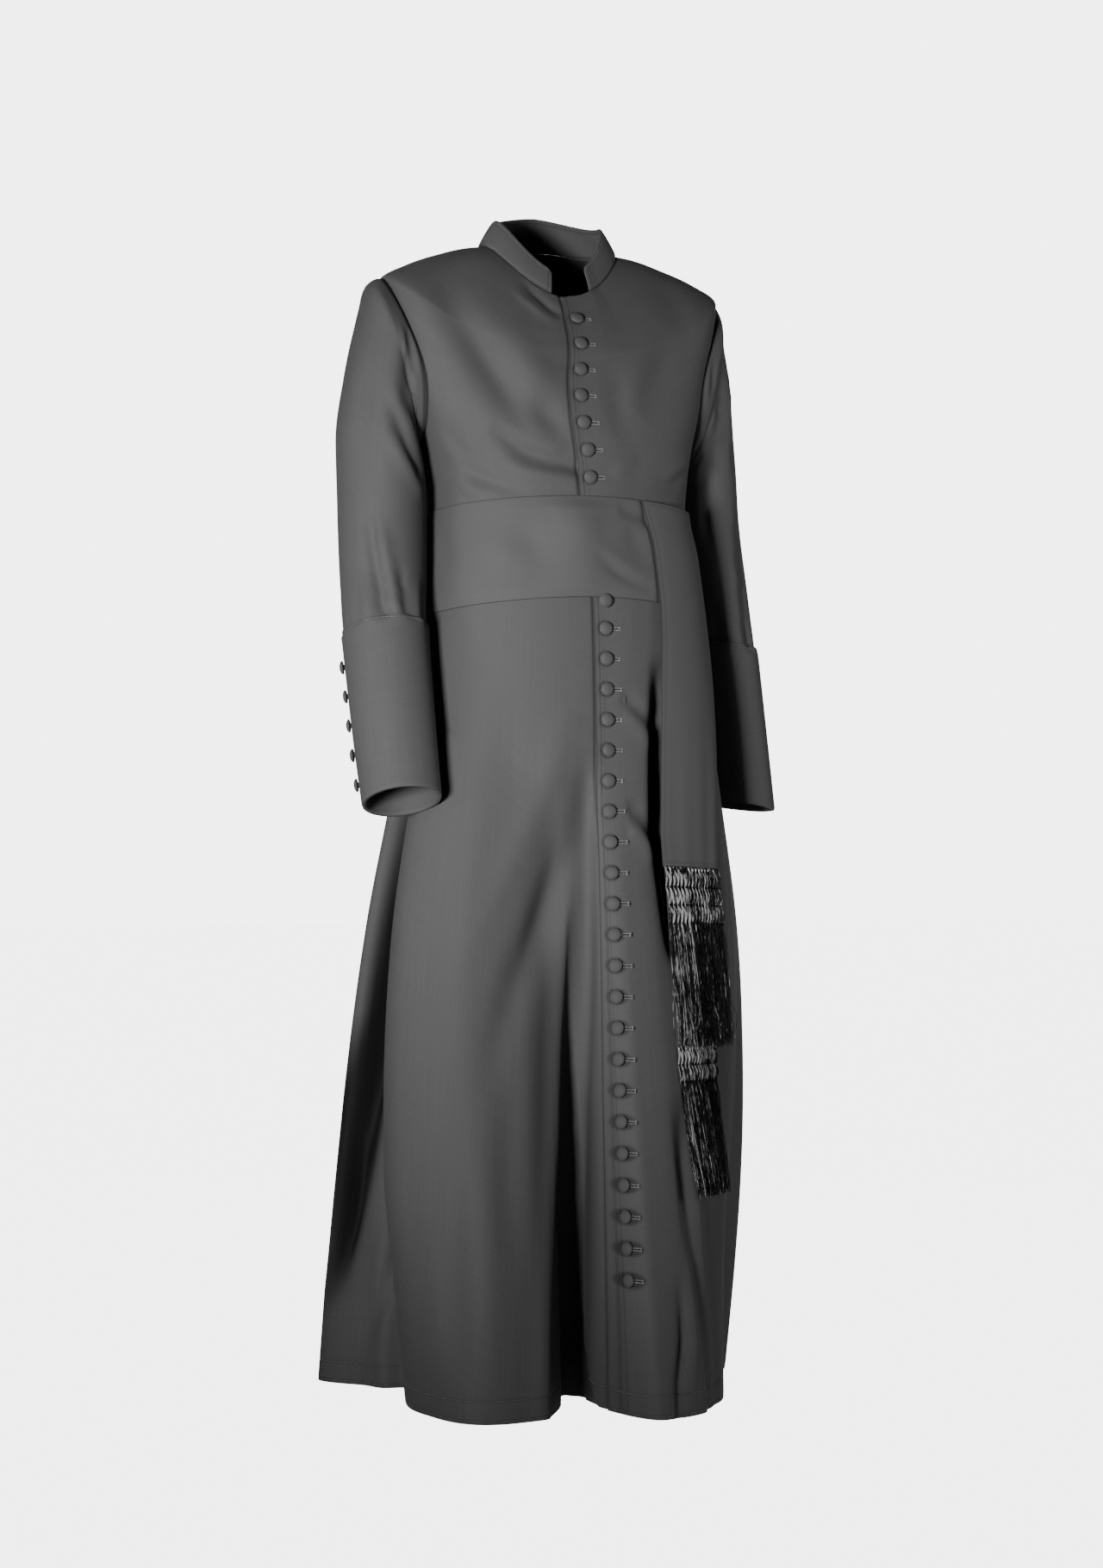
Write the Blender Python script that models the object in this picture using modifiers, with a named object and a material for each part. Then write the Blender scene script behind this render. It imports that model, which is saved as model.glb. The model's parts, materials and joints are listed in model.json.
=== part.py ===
"""A priest's single-breasted cassock in the shape it has when worn, with its fringed sash.

Metres, +Z up. The wearer faces -Y, and the wearer's left is +X. The origin is the middle of the neck, level with
the points where the shoulder seams meet the collar, so the whole garment hangs below it and its collar stands above.
A turn is an angle in degrees round the body: 0 at the front, 90 at the wearer's left, 180 at the back.
A drop is a distance down from the neck points, measured at the wearer's sides.
"""

import math
from collections import namedtuple

import bmesh
import bpy
import numpy as np
from mathutils import Matrix, Vector

# Cloth
CLOTH = 0.002
SASH_CLOTH = 0.0015
COLLAR_CLOTH = 0.0025
GAP = 0.0003
SEAM_GAP = 0.001

# Lengths down the body
TIP_DROP = 0.046
ARMPIT_DROP = 0.240
BAND_TOP = 0.315
BAND_BOTTOM = 0.437
HEM_DROP = 1.343

# Front closure
CLOSURE_DROPS = (0.0, 0.1, 0.28, 0.42, 0.6, 0.85, HEM_DROP)
CLOSURE_OFFSETS = (0.004, -0.004, -0.004, 0.004, 0.003, 0.005, 0.009)
EDGE_OVERLAP = 0.013
UNDERLAP = 0.025
LAYER = CLOTH + GAP

# Armhole, in degrees of turn from the side at its widest
ARMHOLE_FRONT = 30.0
ARMHOLE_BACK = 26.0
ARMHOLE_ROWS = 8

# Buttons
BUTTON_RADIUS = 0.0074
BUTTON_NECK = 0.003
BUTTON_SEAT = 0.0006
BUTTON_STEPS = 8
BUTTON_COLUMN = 1
CHEST_BUTTON_DEPTHS = (0.0953, 0.2835)
SKIRT_BUTTON_DEPTHS = (0.458, 1.193)
CHEST_BUTTONS = 7
SKIRT_BUTTONS = 22
CUFF_BUTTONS = 5

Section = namedtuple("Section", "drop sway half_width front back front_dip back_dip square")
SECTIONS = [
    Section(0.000, -0.006, 0.082, 0.069, 0.067, 0.066, -0.012, 0.00),
    Section(0.003, -0.005, 0.104, 0.078, 0.075, 0.076, -0.008, 0.01),
    Section(0.011, -0.005, 0.133, 0.089, 0.085, 0.086, 0.002, 0.02),
    Section(0.027, -0.004, 0.177, 0.102, 0.098, 0.094, 0.014, 0.04),
    Section(TIP_DROP, -0.004, 0.2075, 0.110, 0.104, 0.096, 0.024, 0.06),
    Section(0.085, -0.005, 0.202, 0.117, 0.112, 0.082, 0.018, 0.07),
    Section(0.130, -0.006, 0.193, 0.123, 0.118, 0.060, 0.012, 0.07),
    Section(0.180, -0.005, 0.183, 0.127, 0.119, 0.034, 0.006, 0.07),
    Section(ARMPIT_DROP, -0.001, 0.167, 0.129, 0.116, 0.004, 0.000, 0.06),
    Section(0.275, 0.003, 0.159, 0.128, 0.111, -0.004, 0.000, 0.05),
    Section(BAND_TOP, 0.004, 0.155, 0.129, 0.108, -0.010, 0.000, 0.05),
    Section(0.375, 0.009, 0.162, 0.132, 0.108, -0.013, 0.000, 0.05),
    Section(BAND_BOTTOM, 0.010, 0.169, 0.137, 0.116, -0.015, 0.000, 0.05),
    Section(0.520, 0.009, 0.178, 0.147, 0.132, -0.012, 0.000, 0.05),
    Section(0.650, 0.008, 0.190, 0.158, 0.148, -0.008, 0.000, 0.04),
    Section(0.800, 0.006, 0.204, 0.171, 0.168, -0.004, 0.000, 0.03),
    Section(1.000, 0.003, 0.214, 0.184, 0.186, 0.000, 0.000, 0.02),
    Section(1.200, 0.001, 0.222, 0.194, 0.200, 0.000, 0.000, 0.01),
    Section(HEM_DROP, 0.000, 0.227, 0.200, 0.208, 0.000, 0.000, 0.00),
]
SECTION_DROPS = [section.drop for section in SECTIONS]

# Crests (+) and troughs (-) of the skirt: the turn where each starts and ends, its depth at the hem, how much more
# it has halfway down, the drop where it starts and how fast it grows.
Fold = namedtuple("Fold", "top_turn hem_turn depth belly start growth")
FOLDS = [
    Fold(-180, -180, -0.042, 0.000, 0.50, 0.9),
    Fold(-164, -162, 0.030, 0.000, 0.50, 1.0),
    Fold(-149, -147, -0.030, 0.000, 0.58, 1.0),
    Fold(-134, -131, 0.038, 0.000, 0.55, 1.0),
    Fold(-116, -114, 0.055, 0.006, 0.52, 0.9),
    Fold(-98, -94, -0.052, 0.000, 0.50, 0.7),
    Fold(-68, -50, 0.042, 0.026, 0.58, 0.5),
    Fold(-50, -33, 0.080, 0.000, 0.50, 1.0),
    Fold(-34, -20, 0.044, -0.008, 0.60, 1.2),
    Fold(-16, -9, -0.096, 0.000, 0.62, 0.9),
    Fold(4, 6, 0.078, -0.006, 0.66, 1.0),
    Fold(20, 15, 0.070, 0.000, 0.70, 1.0),
    Fold(42, 36, 0.020, 0.000, 0.70, 1.0),
    Fold(66, 70, -0.045, 0.028, 0.56, 1.0),
    Fold(98, 102, 0.014, 0.034, 0.57, 0.9),
    Fold(118, 118, -0.040, 0.010, 0.50, 0.9),
    Fold(134, 134, 0.036, 0.000, 0.55, 1.0),
    Fold(150, 149, -0.030, 0.000, 0.58, 1.0),
    Fold(165, 164, 0.032, 0.000, 0.50, 1.0),
]

SHOULDER_DROPS = [0.0, 0.003, 0.009, 0.018, 0.030]
TORSO_DROPS = [0.258, 0.285, BAND_TOP, 0.355, 0.396, BAND_BOTTOM]
SKIRT_DROPS = [0.478, 0.526, 0.584, 0.650, 0.725, 0.800, 0.880, 0.960, 1.040, 1.120, 1.200, 1.275, HEM_DROP]

FRONT_COLUMNS = 12
BACK_COLUMNS = 13
LIFT_FADE = (0.5,)

# Rings of a sleeve below its armhole: the ring's middle, its half sizes, the pitch of its plane
# (0 upright as the armhole, 90 level) and how far the forearm swings forward, in degrees.
SleeveRing = namedtuple("SleeveRing", "drop out back across deep pitch swing")
SLEEVES = {
    "right": (
        SleeveRing(0.150, 0.2030, 0.000, 0.0975, 0.066, 14, 0),
        SleeveRing(0.179, 0.2085, -0.002, 0.0805, 0.069, 25, 0),
        SleeveRing(0.211, 0.2110, -0.004, 0.0675, 0.069, 40, 0),
        SleeveRing(0.262, 0.2140, -0.006, 0.0580, 0.065, 62, 0),
        SleeveRing(0.322, 0.2130, -0.008, 0.0520, 0.060, 80, 2),
        SleeveRing(0.390, 0.2140, -0.016, 0.0500, 0.057, 88, 8),
        SleeveRing(0.460, 0.2195, -0.043, 0.0470, 0.052, 90, 17),
        SleeveRing(0.560, 0.2215, -0.080, 0.0450, 0.048, 90, 21),
        SleeveRing(0.657, 0.2215, -0.115, 0.0430, 0.045, 90, 21),
    ),
    "left": (
        SleeveRing(0.150, 0.1890, 0.006, 0.0960, 0.062, 10, 0),
        SleeveRing(0.178, 0.1960, 0.014, 0.0790, 0.062, 18, 0),
        SleeveRing(0.209, 0.2020, 0.026, 0.0640, 0.060, 30, 0),
        SleeveRing(0.262, 0.2060, 0.042, 0.0520, 0.056, 58, 0),
        SleeveRing(0.322, 0.2090, 0.044, 0.0490, 0.054, 80, -2),
        SleeveRing(0.390, 0.2190, 0.042, 0.0480, 0.053, 92, -2),
        SleeveRing(0.460, 0.2295, 0.038, 0.0465, 0.052, 97, 0),
        SleeveRing(0.560, 0.2430, 0.034, 0.0445, 0.048, 98, 2),
        SleeveRing(0.657, 0.2550, 0.030, 0.0430, 0.045, 98, 2),
    ),
}
CUFF_STARTS_AT_RING = 7
RING_STEPS = (2, 2, 1, 1, 2, 2, 2, 2, 2)
CUFF_FLARE = 0.0012
CUFF_BUTTON_COLUMN = -1
CUFF_BUTTON_REACH = (0.038, 0.184)

# Collar: how far its top stands above the neckline and in from it, at the front, the sides and the back
CollarStand = namedtuple("CollarStand", "turn rise inset")
COLLAR_CURVE = 0.001
COLLAR = [
    CollarStand(0, 0.029, 0.011),
    CollarStand(90, 0.031, 0.018),
    CollarStand(180, 0.037, 0.018),
]

# The two hanging falls of the sash: where each edge lies, in turn, and how far it hangs clear, down its length
FallRow = namedtuple("FallRow", "drop front_edge side_edge clear")
FRONT_FALL = [
    FallRow(BAND_TOP + 0.001, 22.5, 60.5, 0.0005),
    FallRow(0.375, 25, 62, 0.0005),
    FallRow(0.437, 25.5, 62, 0.0009),
    FallRow(0.540, 22.5, 56, 0.003),
    FallRow(0.650, 20, 50, 0.004),
    FallRow(0.737, 18, 45, 0.005),
]
BACK_FALL = [
    FallRow(BAND_TOP + 0.004, 23.5, 61.5, 0.0003),
    FallRow(0.375, 26, 63, 0.0003),
    FallRow(0.437, 26.5, 63, 0.0006),
    FallRow(0.540, 23.5, 57, 0.002),
    FallRow(0.650, 21, 51, 0.003),
    FallRow(0.800, 18.5, 42, 0.003),
    FallRow(0.936, 17, 37.5, 0.003),
]
FALL_COLUMNS = 6
FRINGE_HEADER = 0.005
FRINGE_STRANDS = 18
FRONT_FRINGE_LENGTH = 0.195
BACK_FRINGE_LENGTH = 0.172
KNOT_ROWS = (0.012, 0.030, 0.048)
FRINGE_TURN_DRIFT = 4.0

Finish = namedtuple("Finish", "colour roughness")
WOOL = Finish((0.058, 0.058, 0.060), 0.85)
SASH_WOOL = Finish((0.052, 0.052, 0.054), 0.75)
SILK = Finish((0.020, 0.020, 0.021), 0.40)


def smooth_through(at, knots, values):
    """A curve through the knots that never swings past them, read at the places asked for."""
    knots = np.asarray(knots, float)
    values = np.asarray(values, float)
    run = np.diff(knots)
    rise = np.diff(values) / run
    slope = np.empty(len(knots))
    slope[0], slope[-1] = rise[0], rise[-1]
    before, after = rise[:-1], rise[1:]
    same_way = before * after > 0
    total = np.where(same_way, before + after, 1.0)
    slope[1:-1] = np.where(same_way, 2 * before * after / total, 0.0)
    at = np.clip(np.asarray(at, float), knots[0], knots[-1])
    i = np.clip(np.searchsorted(knots, at, side="right") - 1, 0, len(run) - 1)
    t = (at - knots[i]) / run[i]
    return (
        values[i] * (1 + 2 * t) * (1 - t) ** 2
        + values[i + 1] * t * t * (3 - 2 * t)
        + run[i] * (slope[i] * t * (1 - t) ** 2 - slope[i + 1] * t * t * (1 - t))
    )


def fold_reach(drop, turns):
    """How far the skirt's folds carry the cloth out (+) or in (-) at one drop."""
    knots, depths = [], []
    for fold in FOLDS:
        grown = min(1.0, max(0.0, (drop - fold.start) / (HEM_DROP - fold.start)))
        down = min(1.0, max(0.0, (drop - BAND_BOTTOM) / (HEM_DROP - BAND_BOTTOM)))
        knots.append(fold.top_turn + (fold.hem_turn - fold.top_turn) * down)
        depths.append(fold.depth * grown**fold.growth + fold.belly * math.sin(math.pi * grown))
    knots = np.array(knots)
    around = np.concatenate([knots - 360, knots, knots + 360])
    return smooth_through(turns, around, depths * 3)


def body_points(drops, turns):
    """Points on the outside of the body, one row for each drop and one column for each turn in that row."""
    drops = np.asarray(drops, float)
    turns = np.asarray(turns, float)
    section = Section(*(smooth_through(drops, SECTION_DROPS, column)[:, None] for column in zip(*SECTIONS)))
    angle = np.radians(turns)
    side, ahead = np.sin(angle), np.cos(angle)
    fuller = 1 + section.square * np.sin(2 * angle) ** 2
    x = section.half_width * side * fuller
    y = -np.where(ahead > 0, section.front, section.back) * ahead * fuller
    dip = np.where(ahead > 0, section.front_dip, section.back_dip) * ahead**2
    folds = np.array([fold_reach(drop, row) for drop, row in zip(drops, turns)])
    away = 1 + folds / np.hypot(x, y)
    return np.stack([section.sway + x * away, y * away, -section.drop - dip], axis=-1)


def body_normals(drops, turns):
    """Outward normals at the same places as body_points."""
    step_down, step_round = 0.0004, 0.4
    drops = np.asarray(drops, float)
    down = body_points(np.minimum(drops + step_down, HEM_DROP), turns) - body_points(
        np.maximum(drops - step_down, 0), turns
    )
    round_it = body_points(drops, turns + step_round) - body_points(drops, turns - step_round)
    normal = np.cross(down, round_it)
    return normal / np.linalg.norm(normal, axis=-1, keepdims=True)


def closure_turn(drops, offset):
    """The turn that lies this far to the wearer's left of the line of front buttons, for each drop."""
    half_width = smooth_through(drops, SECTION_DROPS, [section.half_width for section in SECTIONS])
    line = smooth_through(drops, CLOSURE_DROPS, CLOSURE_OFFSETS)
    return np.degrees(np.arcsin((line + offset) / half_width))


def armhole_share(drops):
    """0 where there is no armhole, and 1 at its widest: an ellipse from the shoulder tip to the armpit."""
    middle, half = (ARMPIT_DROP + TIP_DROP) / 2, (ARMPIT_DROP - TIP_DROP) / 2
    return np.sqrt(np.clip(1 - ((np.asarray(drops) - middle) / half) ** 2, 0, 1))


def armhole_drops():
    """Row heights from the shoulder tip to the armpit, spaced evenly round the armhole."""
    middle, half = (ARMPIT_DROP + TIP_DROP) / 2, (ARMPIT_DROP - TIP_DROP) / 2
    return [middle - half * math.cos(math.pi * i / ARMHOLE_ROWS) for i in range(ARMHOLE_ROWS + 1)]


ROW_DROPS = np.array(SHOULDER_DROPS + armhole_drops() + TORSO_DROPS + SKIRT_DROPS)
TIP_ROW = len(SHOULDER_DROPS)
ARMPIT_ROW = TIP_ROW + ARMHOLE_ROWS
BAND_ROWS = slice(ARMPIT_ROW + TORSO_DROPS.index(BAND_TOP) + 1, ARMPIT_ROW + TORSO_DROPS.index(BAND_BOTTOM) + 2)


def front_turns(side):
    """Columns of a front panel, from its edge in the overlap to its side seam. side is 1 for left, -1 for right."""
    lapped = [-EDGE_OVERLAP, 0.0, UNDERLAP / 2, UNDERLAP]
    if side < 0:
        lapped = lapped[::-1]
    columns = [closure_turn(ROW_DROPS, offset) for offset in lapped]
    start = columns[-1]
    end = side * (90 - ARMHOLE_FRONT * armhole_share(ROW_DROPS))
    columns += [start + (end - start) * i / FRONT_COLUMNS for i in range(1, FRONT_COLUMNS + 1)]
    return np.stack(columns, axis=1)


def back_turns(side):
    """Columns of a back panel, from its side seam to the seam down the middle of the back."""
    start = 90 + ARMHOLE_BACK * armhole_share(ROW_DROPS)
    columns = [start + (180 - start) * i / BACK_COLUMNS for i in range(BACK_COLUMNS + 1)]
    return side * np.stack(columns, axis=1)


def front_lift(side):
    """How far a front panel is moved out, column by column: the left front lies on the right one."""
    lift = np.zeros(4 + FRONT_COLUMNS)
    if side > 0:
        lift[:4] = LAYER
        lift[4 : 4 + len(LIFT_FADE)] = LAYER * np.array(LIFT_FADE)
    return lift


class Panel:
    """A stretch of the body's cloth: its points, normals and turns, with its side edges half a seam gap in."""

    def __init__(self, turns, lift):
        self.turns = turns
        self.normals = body_normals(ROW_DROPS, turns)
        self.points = body_points(ROW_DROPS, turns) + self.normals * lift[:, None]
        for edge, inner in ((0, 1), (-1, -2)):
            along = self.points[:, inner] - self.points[:, edge]
            length = np.linalg.norm(along, axis=1, keepdims=True)
            self.points[:, edge] += along / length * SEAM_GAP / 2


def material(name, finish):
    """A plain cloth material."""
    made = bpy.data.materials.new(name)
    made.use_nodes = True
    shader = made.node_tree.nodes["Principled BSDF"]
    shader.inputs["Base Color"].default_value = (*finish.colour, 1.0)
    shader.inputs["Roughness"].default_value = finish.roughness
    shader.inputs["Metallic"].default_value = 0.0
    return made


def add_object(name, mesh, cloth, collection):
    """A named object of one material in the garment's collection."""
    made = bpy.data.objects.new(name, mesh)
    collection.objects.link(made)
    if not mesh.materials:
        mesh.materials.append(cloth)
    return made


def sheet(name, grid, thickness, cloth, collection, closed=False):
    """A piece of cloth over a grid of points, rows by columns, thickened outwards, or inwards if that is negative.

    A closed one is a tube. Every face is split along the same diagonal, so layers made from one grid never touch.
    """
    rows, columns = grid.shape[:2]
    surface = bmesh.new()
    verts = [[surface.verts.new(point) for point in row] for row in grid]
    for upper, lower in zip(verts, verts[1:]):
        for c in range(columns if closed else columns - 1):
            d = (c + 1) % columns
            surface.faces.new([upper[c], lower[c], lower[d]])
            surface.faces.new([upper[c], lower[d], upper[d]])
    mesh = bpy.data.meshes.new(name)
    surface.to_mesh(mesh)
    surface.free()
    mesh.shade_smooth()
    made = add_object(name, mesh, cloth, collection)
    solidify = made.modifiers.new("cloth", "SOLIDIFY")
    solidify.thickness = abs(thickness)
    solidify.offset = math.copysign(1, thickness)
    return made


def make_body(cloth, collection):
    """The four panels, each cut in one from shoulder to hem."""
    panels = {}
    for side, word in ((-1, "right"), (1, "left")):
        panels["front_" + word] = Panel(front_turns(side), front_lift(side))
        panels["back_" + word] = Panel(back_turns(side), np.zeros(BACK_COLUMNS + 1))
    for name, panel in panels.items():
        order = slice(None, None, -1 if name.endswith("right") else 1)
        sheet(name, panel.points[:, order], -CLOTH, cloth, collection)
    return panels


def grid_normals(grid):
    """Normals of a tube's points, from its neighbours along it and round it."""
    along = np.gradient(grid, axis=0)
    around = np.roll(grid, -1, axis=1) - np.roll(grid, 1, axis=1)
    normal = np.cross(along, around)
    return normal / np.linalg.norm(normal, axis=-1, keepdims=True)


def sleeve_ring(ring, side, columns):
    """One ring of a sleeve: column 0 is its outer or upper side, and a quarter of the way on is its front."""
    pitch, swing = math.radians(ring.pitch), math.radians(ring.swing)
    middle = np.array([side * ring.out, ring.back, -ring.drop])
    up = np.array([side * math.sin(pitch), 0.0, math.cos(pitch)])
    front = np.array([0.0, -math.cos(swing), math.sin(swing)])
    angle = 2 * math.pi * np.arange(columns) / columns
    return middle + ring.across * np.cos(angle)[:, None] * up + ring.deep * np.sin(angle)[:, None] * front


def sleeve_grid(side, word, panels):
    """The sleeve's outside, from the armhole's edge to the wrist, as rows of points round it."""
    rows = slice(TIP_ROW, ARMPIT_ROW + 1)
    front = panels["front_" + word].points[rows, -1]
    back = panels["back_" + word].points[rows, 0]
    loop = np.concatenate([front, back[-2:0:-1]])
    inward = loop.mean(axis=0) - loop
    inward[:, 0] = 0
    inward /= np.linalg.norm(inward, axis=1, keepdims=True)
    loop = loop + inward * SEAM_GAP + np.array([side * SEAM_GAP, 0, 0])
    control = [loop] + [sleeve_ring(ring, side, len(loop)) for ring in SLEEVES[word]]
    steps = [0.0]
    for start, count in enumerate(RING_STEPS):
        steps += [start + (i + 1) / count for i in range(count)]
    control = np.array(control)
    flat = control.reshape(len(control), -1)
    knots = np.arange(len(control))
    dense = np.stack([smooth_through(steps, knots, column) for column in flat.T], axis=1)
    return dense.reshape(len(steps), len(loop), 3), np.array(steps)


def make_sleeves(panels, cloth, collection):
    """Each sleeve, and the deep cuff turned back over its lower end, with the cuff's buttons."""
    cuffs = {}
    for side, word in ((-1, "right"), (1, "left")):
        grid, steps = sleeve_grid(side, word, panels)
        normals = grid_normals(grid) * -side
        sheet("sleeve_" + word, grid[:, ::-side], -CLOTH, cloth, collection, closed=True)
        rows = steps >= CUFF_STARTS_AT_RING
        under, outward = grid[rows], normals[rows]
        flare = np.linspace(CUFF_FLARE, 0.0, len(under))[:, None, None]
        inner = under + outward * (GAP + flare)
        sheet("cuff_" + word, inner[:, ::-side], CLOTH, cloth, collection, closed=True)
        cuffs[word] = (inner + outward * CLOTH, outward)
    return cuffs


def make_collar(panels, cloth, collection):
    """The standing collar: it sits on the neckline and leans in, and is open at the front."""
    path = [
        ("front_left", range(3, 4 + FRONT_COLUMNS)),
        ("back_left", range(1, BACK_COLUMNS + 1)),
        ("back_right", range(BACK_COLUMNS - 1, -1, -1)),
        ("front_right", range(2 + FRONT_COLUMNS, 3, -1)),
    ]
    base, turns = [], []
    for name, columns in path:
        panel = panels[name]
        for c in columns:
            base.append(panel.points[0, c] + panel.normals[0, c] * GAP)
            turns.append(abs(panel.turns[0, c]))
    base = np.array(base)
    knots = [stand.turn for stand in COLLAR]
    rise = smooth_through(turns, knots, [stand.rise for stand in COLLAR])[:, None]
    inset = smooth_through(turns, knots, [stand.inset for stand in COLLAR])[:, None]
    inward = -base * np.array([1, 1, 0])
    inward /= np.linalg.norm(inward, axis=1, keepdims=True)
    lean = inward * inset + np.array([0, 0, 1]) * rise
    halfway = base + lean / 2 - inward * COLLAR_CURVE
    sheet("collar", np.stack([base + lean, halfway, base]), COLLAR_CLOTH, cloth, collection)


def band_panel():
    """The body under the sash, closed round the waist, with room for the left front's step."""
    order = []
    for turns in (front_turns(1), back_turns(1)[:, 1:], back_turns(-1)[:, -2::-1], front_turns(-1)[:, -2:3:-1]):
        order.append(turns[BAND_ROWS] % 360)
    turns = np.concatenate(order, axis=1)
    lift = np.zeros(turns.shape[1])
    lift[:16] = front_lift(1)
    lift[-2:] = LAYER * np.array([0.5, 0.9])
    return turns, lift


def make_band(cloth, collection):
    """The sash's band: a closed strip round the waist."""
    drops = ROW_DROPS[BAND_ROWS]
    turns, lift = band_panel()
    normals = body_normals(drops, turns)
    points = body_points(drops, turns) + normals * (lift[:, None] + GAP)
    sheet("sash_band", points, SASH_CLOTH, cloth, collection, closed=True)


def fall_surface(rows, drops, columns, stand_off):
    """Points and normals of a strip that hangs over the body, at each drop and share of its width."""
    knots = [row.drop for row in rows]
    start = smooth_through(drops, knots, [row.front_edge for row in rows])
    end = smooth_through(drops, knots, [row.side_edge for row in rows])
    turns = start[:, None] + (end - start)[:, None] * np.asarray(columns)
    clear = stand_off + smooth_through(drops, knots, [row.clear for row in rows])
    normals = body_normals(drops, turns)
    return body_points(drops, turns) + normals * clear[:, None, None], normals


def make_fall(name, rows, stand_off, cloth, collection):
    """One hanging end of the sash."""
    body_rows = [d for d in ROW_DROPS if rows[0].drop + 0.01 < d < rows[-1].drop - 0.01]
    drops = np.array([rows[0].drop] + body_rows + [rows[-1].drop])
    columns = np.linspace(0, 1, FALL_COLUMNS + 1)
    sheet(name, fall_surface(rows, drops, columns, stand_off)[0], SASH_CLOTH, cloth, collection)


def make_fringe(name, rows, stand_off, length, silk, collection):
    """A fall's fringe: a narrow header just under the cloth's edge, and strands that meet in rows of knots."""
    cells = 2 * FRINGE_STRANDS - 1
    shares = np.linspace(0, 1, cells + 1)
    top = rows[-1].drop + GAP
    header = np.array([top, top + FRINGE_HEADER])
    inner, normals = fall_surface(rows, header, shares, stand_off)
    last = rows[-1]
    mesh = bmesh.new()
    backs = [[mesh.verts.new(p) for p in row] for row in inner]
    fronts = [[mesh.verts.new(p) for p in row] for row in inner + normals * SASH_CLOTH]
    strands = []
    for c in range(cells):
        mesh.faces.new([fronts[0][c], fronts[1][c], fronts[1][c + 1], fronts[0][c + 1]])
        mesh.faces.new([backs[0][c + 1], backs[1][c + 1], backs[1][c], backs[0][c]])
        mesh.faces.new([backs[0][c], fronts[0][c], fronts[0][c + 1], backs[0][c + 1]])
        below = mesh.faces.new([fronts[1][c], backs[1][c], backs[1][c + 1], fronts[1][c + 1]])
        if c % 2 == 0:
            strands.append((below, c))
    mesh.faces.new([backs[0][0], backs[1][0], fronts[1][0], fronts[0][0]])
    mesh.faces.new([fronts[0][-1], fronts[1][-1], backs[1][-1], backs[0][-1]])
    cell = 1 / cells
    for number, (face, c) in enumerate(strands):
        middle = (c + 0.5) * cell
        ragged = 1 - 0.05 * math.sin(2.3 * number) ** 2
        stations = [(depth, (1 if (number + k) % 2 else -1) * 0.38 * cell) for k, depth in enumerate(KNOT_ROWS)]
        stations += [(length * 0.62, 0.0), (length * ragged, 0.0)]
        for depth, drift in stations:
            drop = top + FRINGE_HEADER + depth
            half = 0.42 * cell
            shares = np.array([middle + drift - half, middle + drift + half])
            edges = last.front_edge + (last.side_edge - last.front_edge) * shares
            edges = edges - FRINGE_TURN_DRIFT * depth
            spot_normals = body_normals([drop], edges[None])[0]
            spot = body_points([drop], edges[None])[0] + spot_normals * (stand_off + last.clear)
            outer = spot + spot_normals * SASH_CLOTH
            made = bmesh.ops.extrude_discrete_faces(mesh, faces=[face])
            face = made["faces"][0]
            for vert, place in zip(face.verts, (outer[0], spot[0], spot[1], outer[1])):
                vert.co = place
    bmesh.ops.recalc_face_normals(mesh, faces=mesh.faces)
    data = bpy.data.meshes.new(name)
    mesh.to_mesh(data)
    mesh.free()
    add_object(name, data, silk, collection)


def button_mesh(cloth, shank):
    """Half the outline of a covered button, from the top of its dome down its shank; a Screw turns it."""
    dome = [(0.0, 0.0046), (0.0058, 0.0038), (BUTTON_RADIUS, 0.0020), (BUTTON_NECK, 0.0)]
    outline = [(r, z + shank) for r, z in dome] + [(BUTTON_NECK, 0.0)] * (shank > 0) + [(0.0, 0.0)]
    data = bpy.data.meshes.new("button")
    data.from_pydata([(r, 0, z) for r, z in outline], [(i, i + 1) for i in range(len(outline) - 1)], [])
    data.materials.append(cloth)
    return data


def add_button(name, mesh, spot, cloth, collection):
    """One covered button: its foot stands just off the spot, and its dome points along the spot's normal."""
    place, normal = spot
    made = add_object(name, mesh, cloth, collection)
    turn = Vector(normal).to_track_quat("Z", "Y").to_matrix().to_4x4()
    made.matrix_world = Matrix.Translation(Vector(place + normal * BUTTON_SEAT)) @ turn
    screw = made.modifiers.new("turned", "SCREW")
    screw.steps = BUTTON_STEPS
    screw.render_steps = BUTTON_STEPS
    screw.use_merge_vertices = True
    screw.merge_threshold = 0.00001
    screw.use_smooth_shade = True
    return made


def spot_on(points, normals, along, at):
    """The place on a line of points, and the normal there, at one value of the measure taken along it."""
    i = int(np.clip(np.searchsorted(along, at) - 1, 0, len(along) - 2))
    t = (at - along[i]) / (along[i + 1] - along[i])
    normal = normals[i] * (1 - t) + normals[i + 1] * t
    return points[i] * (1 - t) + points[i + 1] * t, normal / np.linalg.norm(normal)


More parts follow.
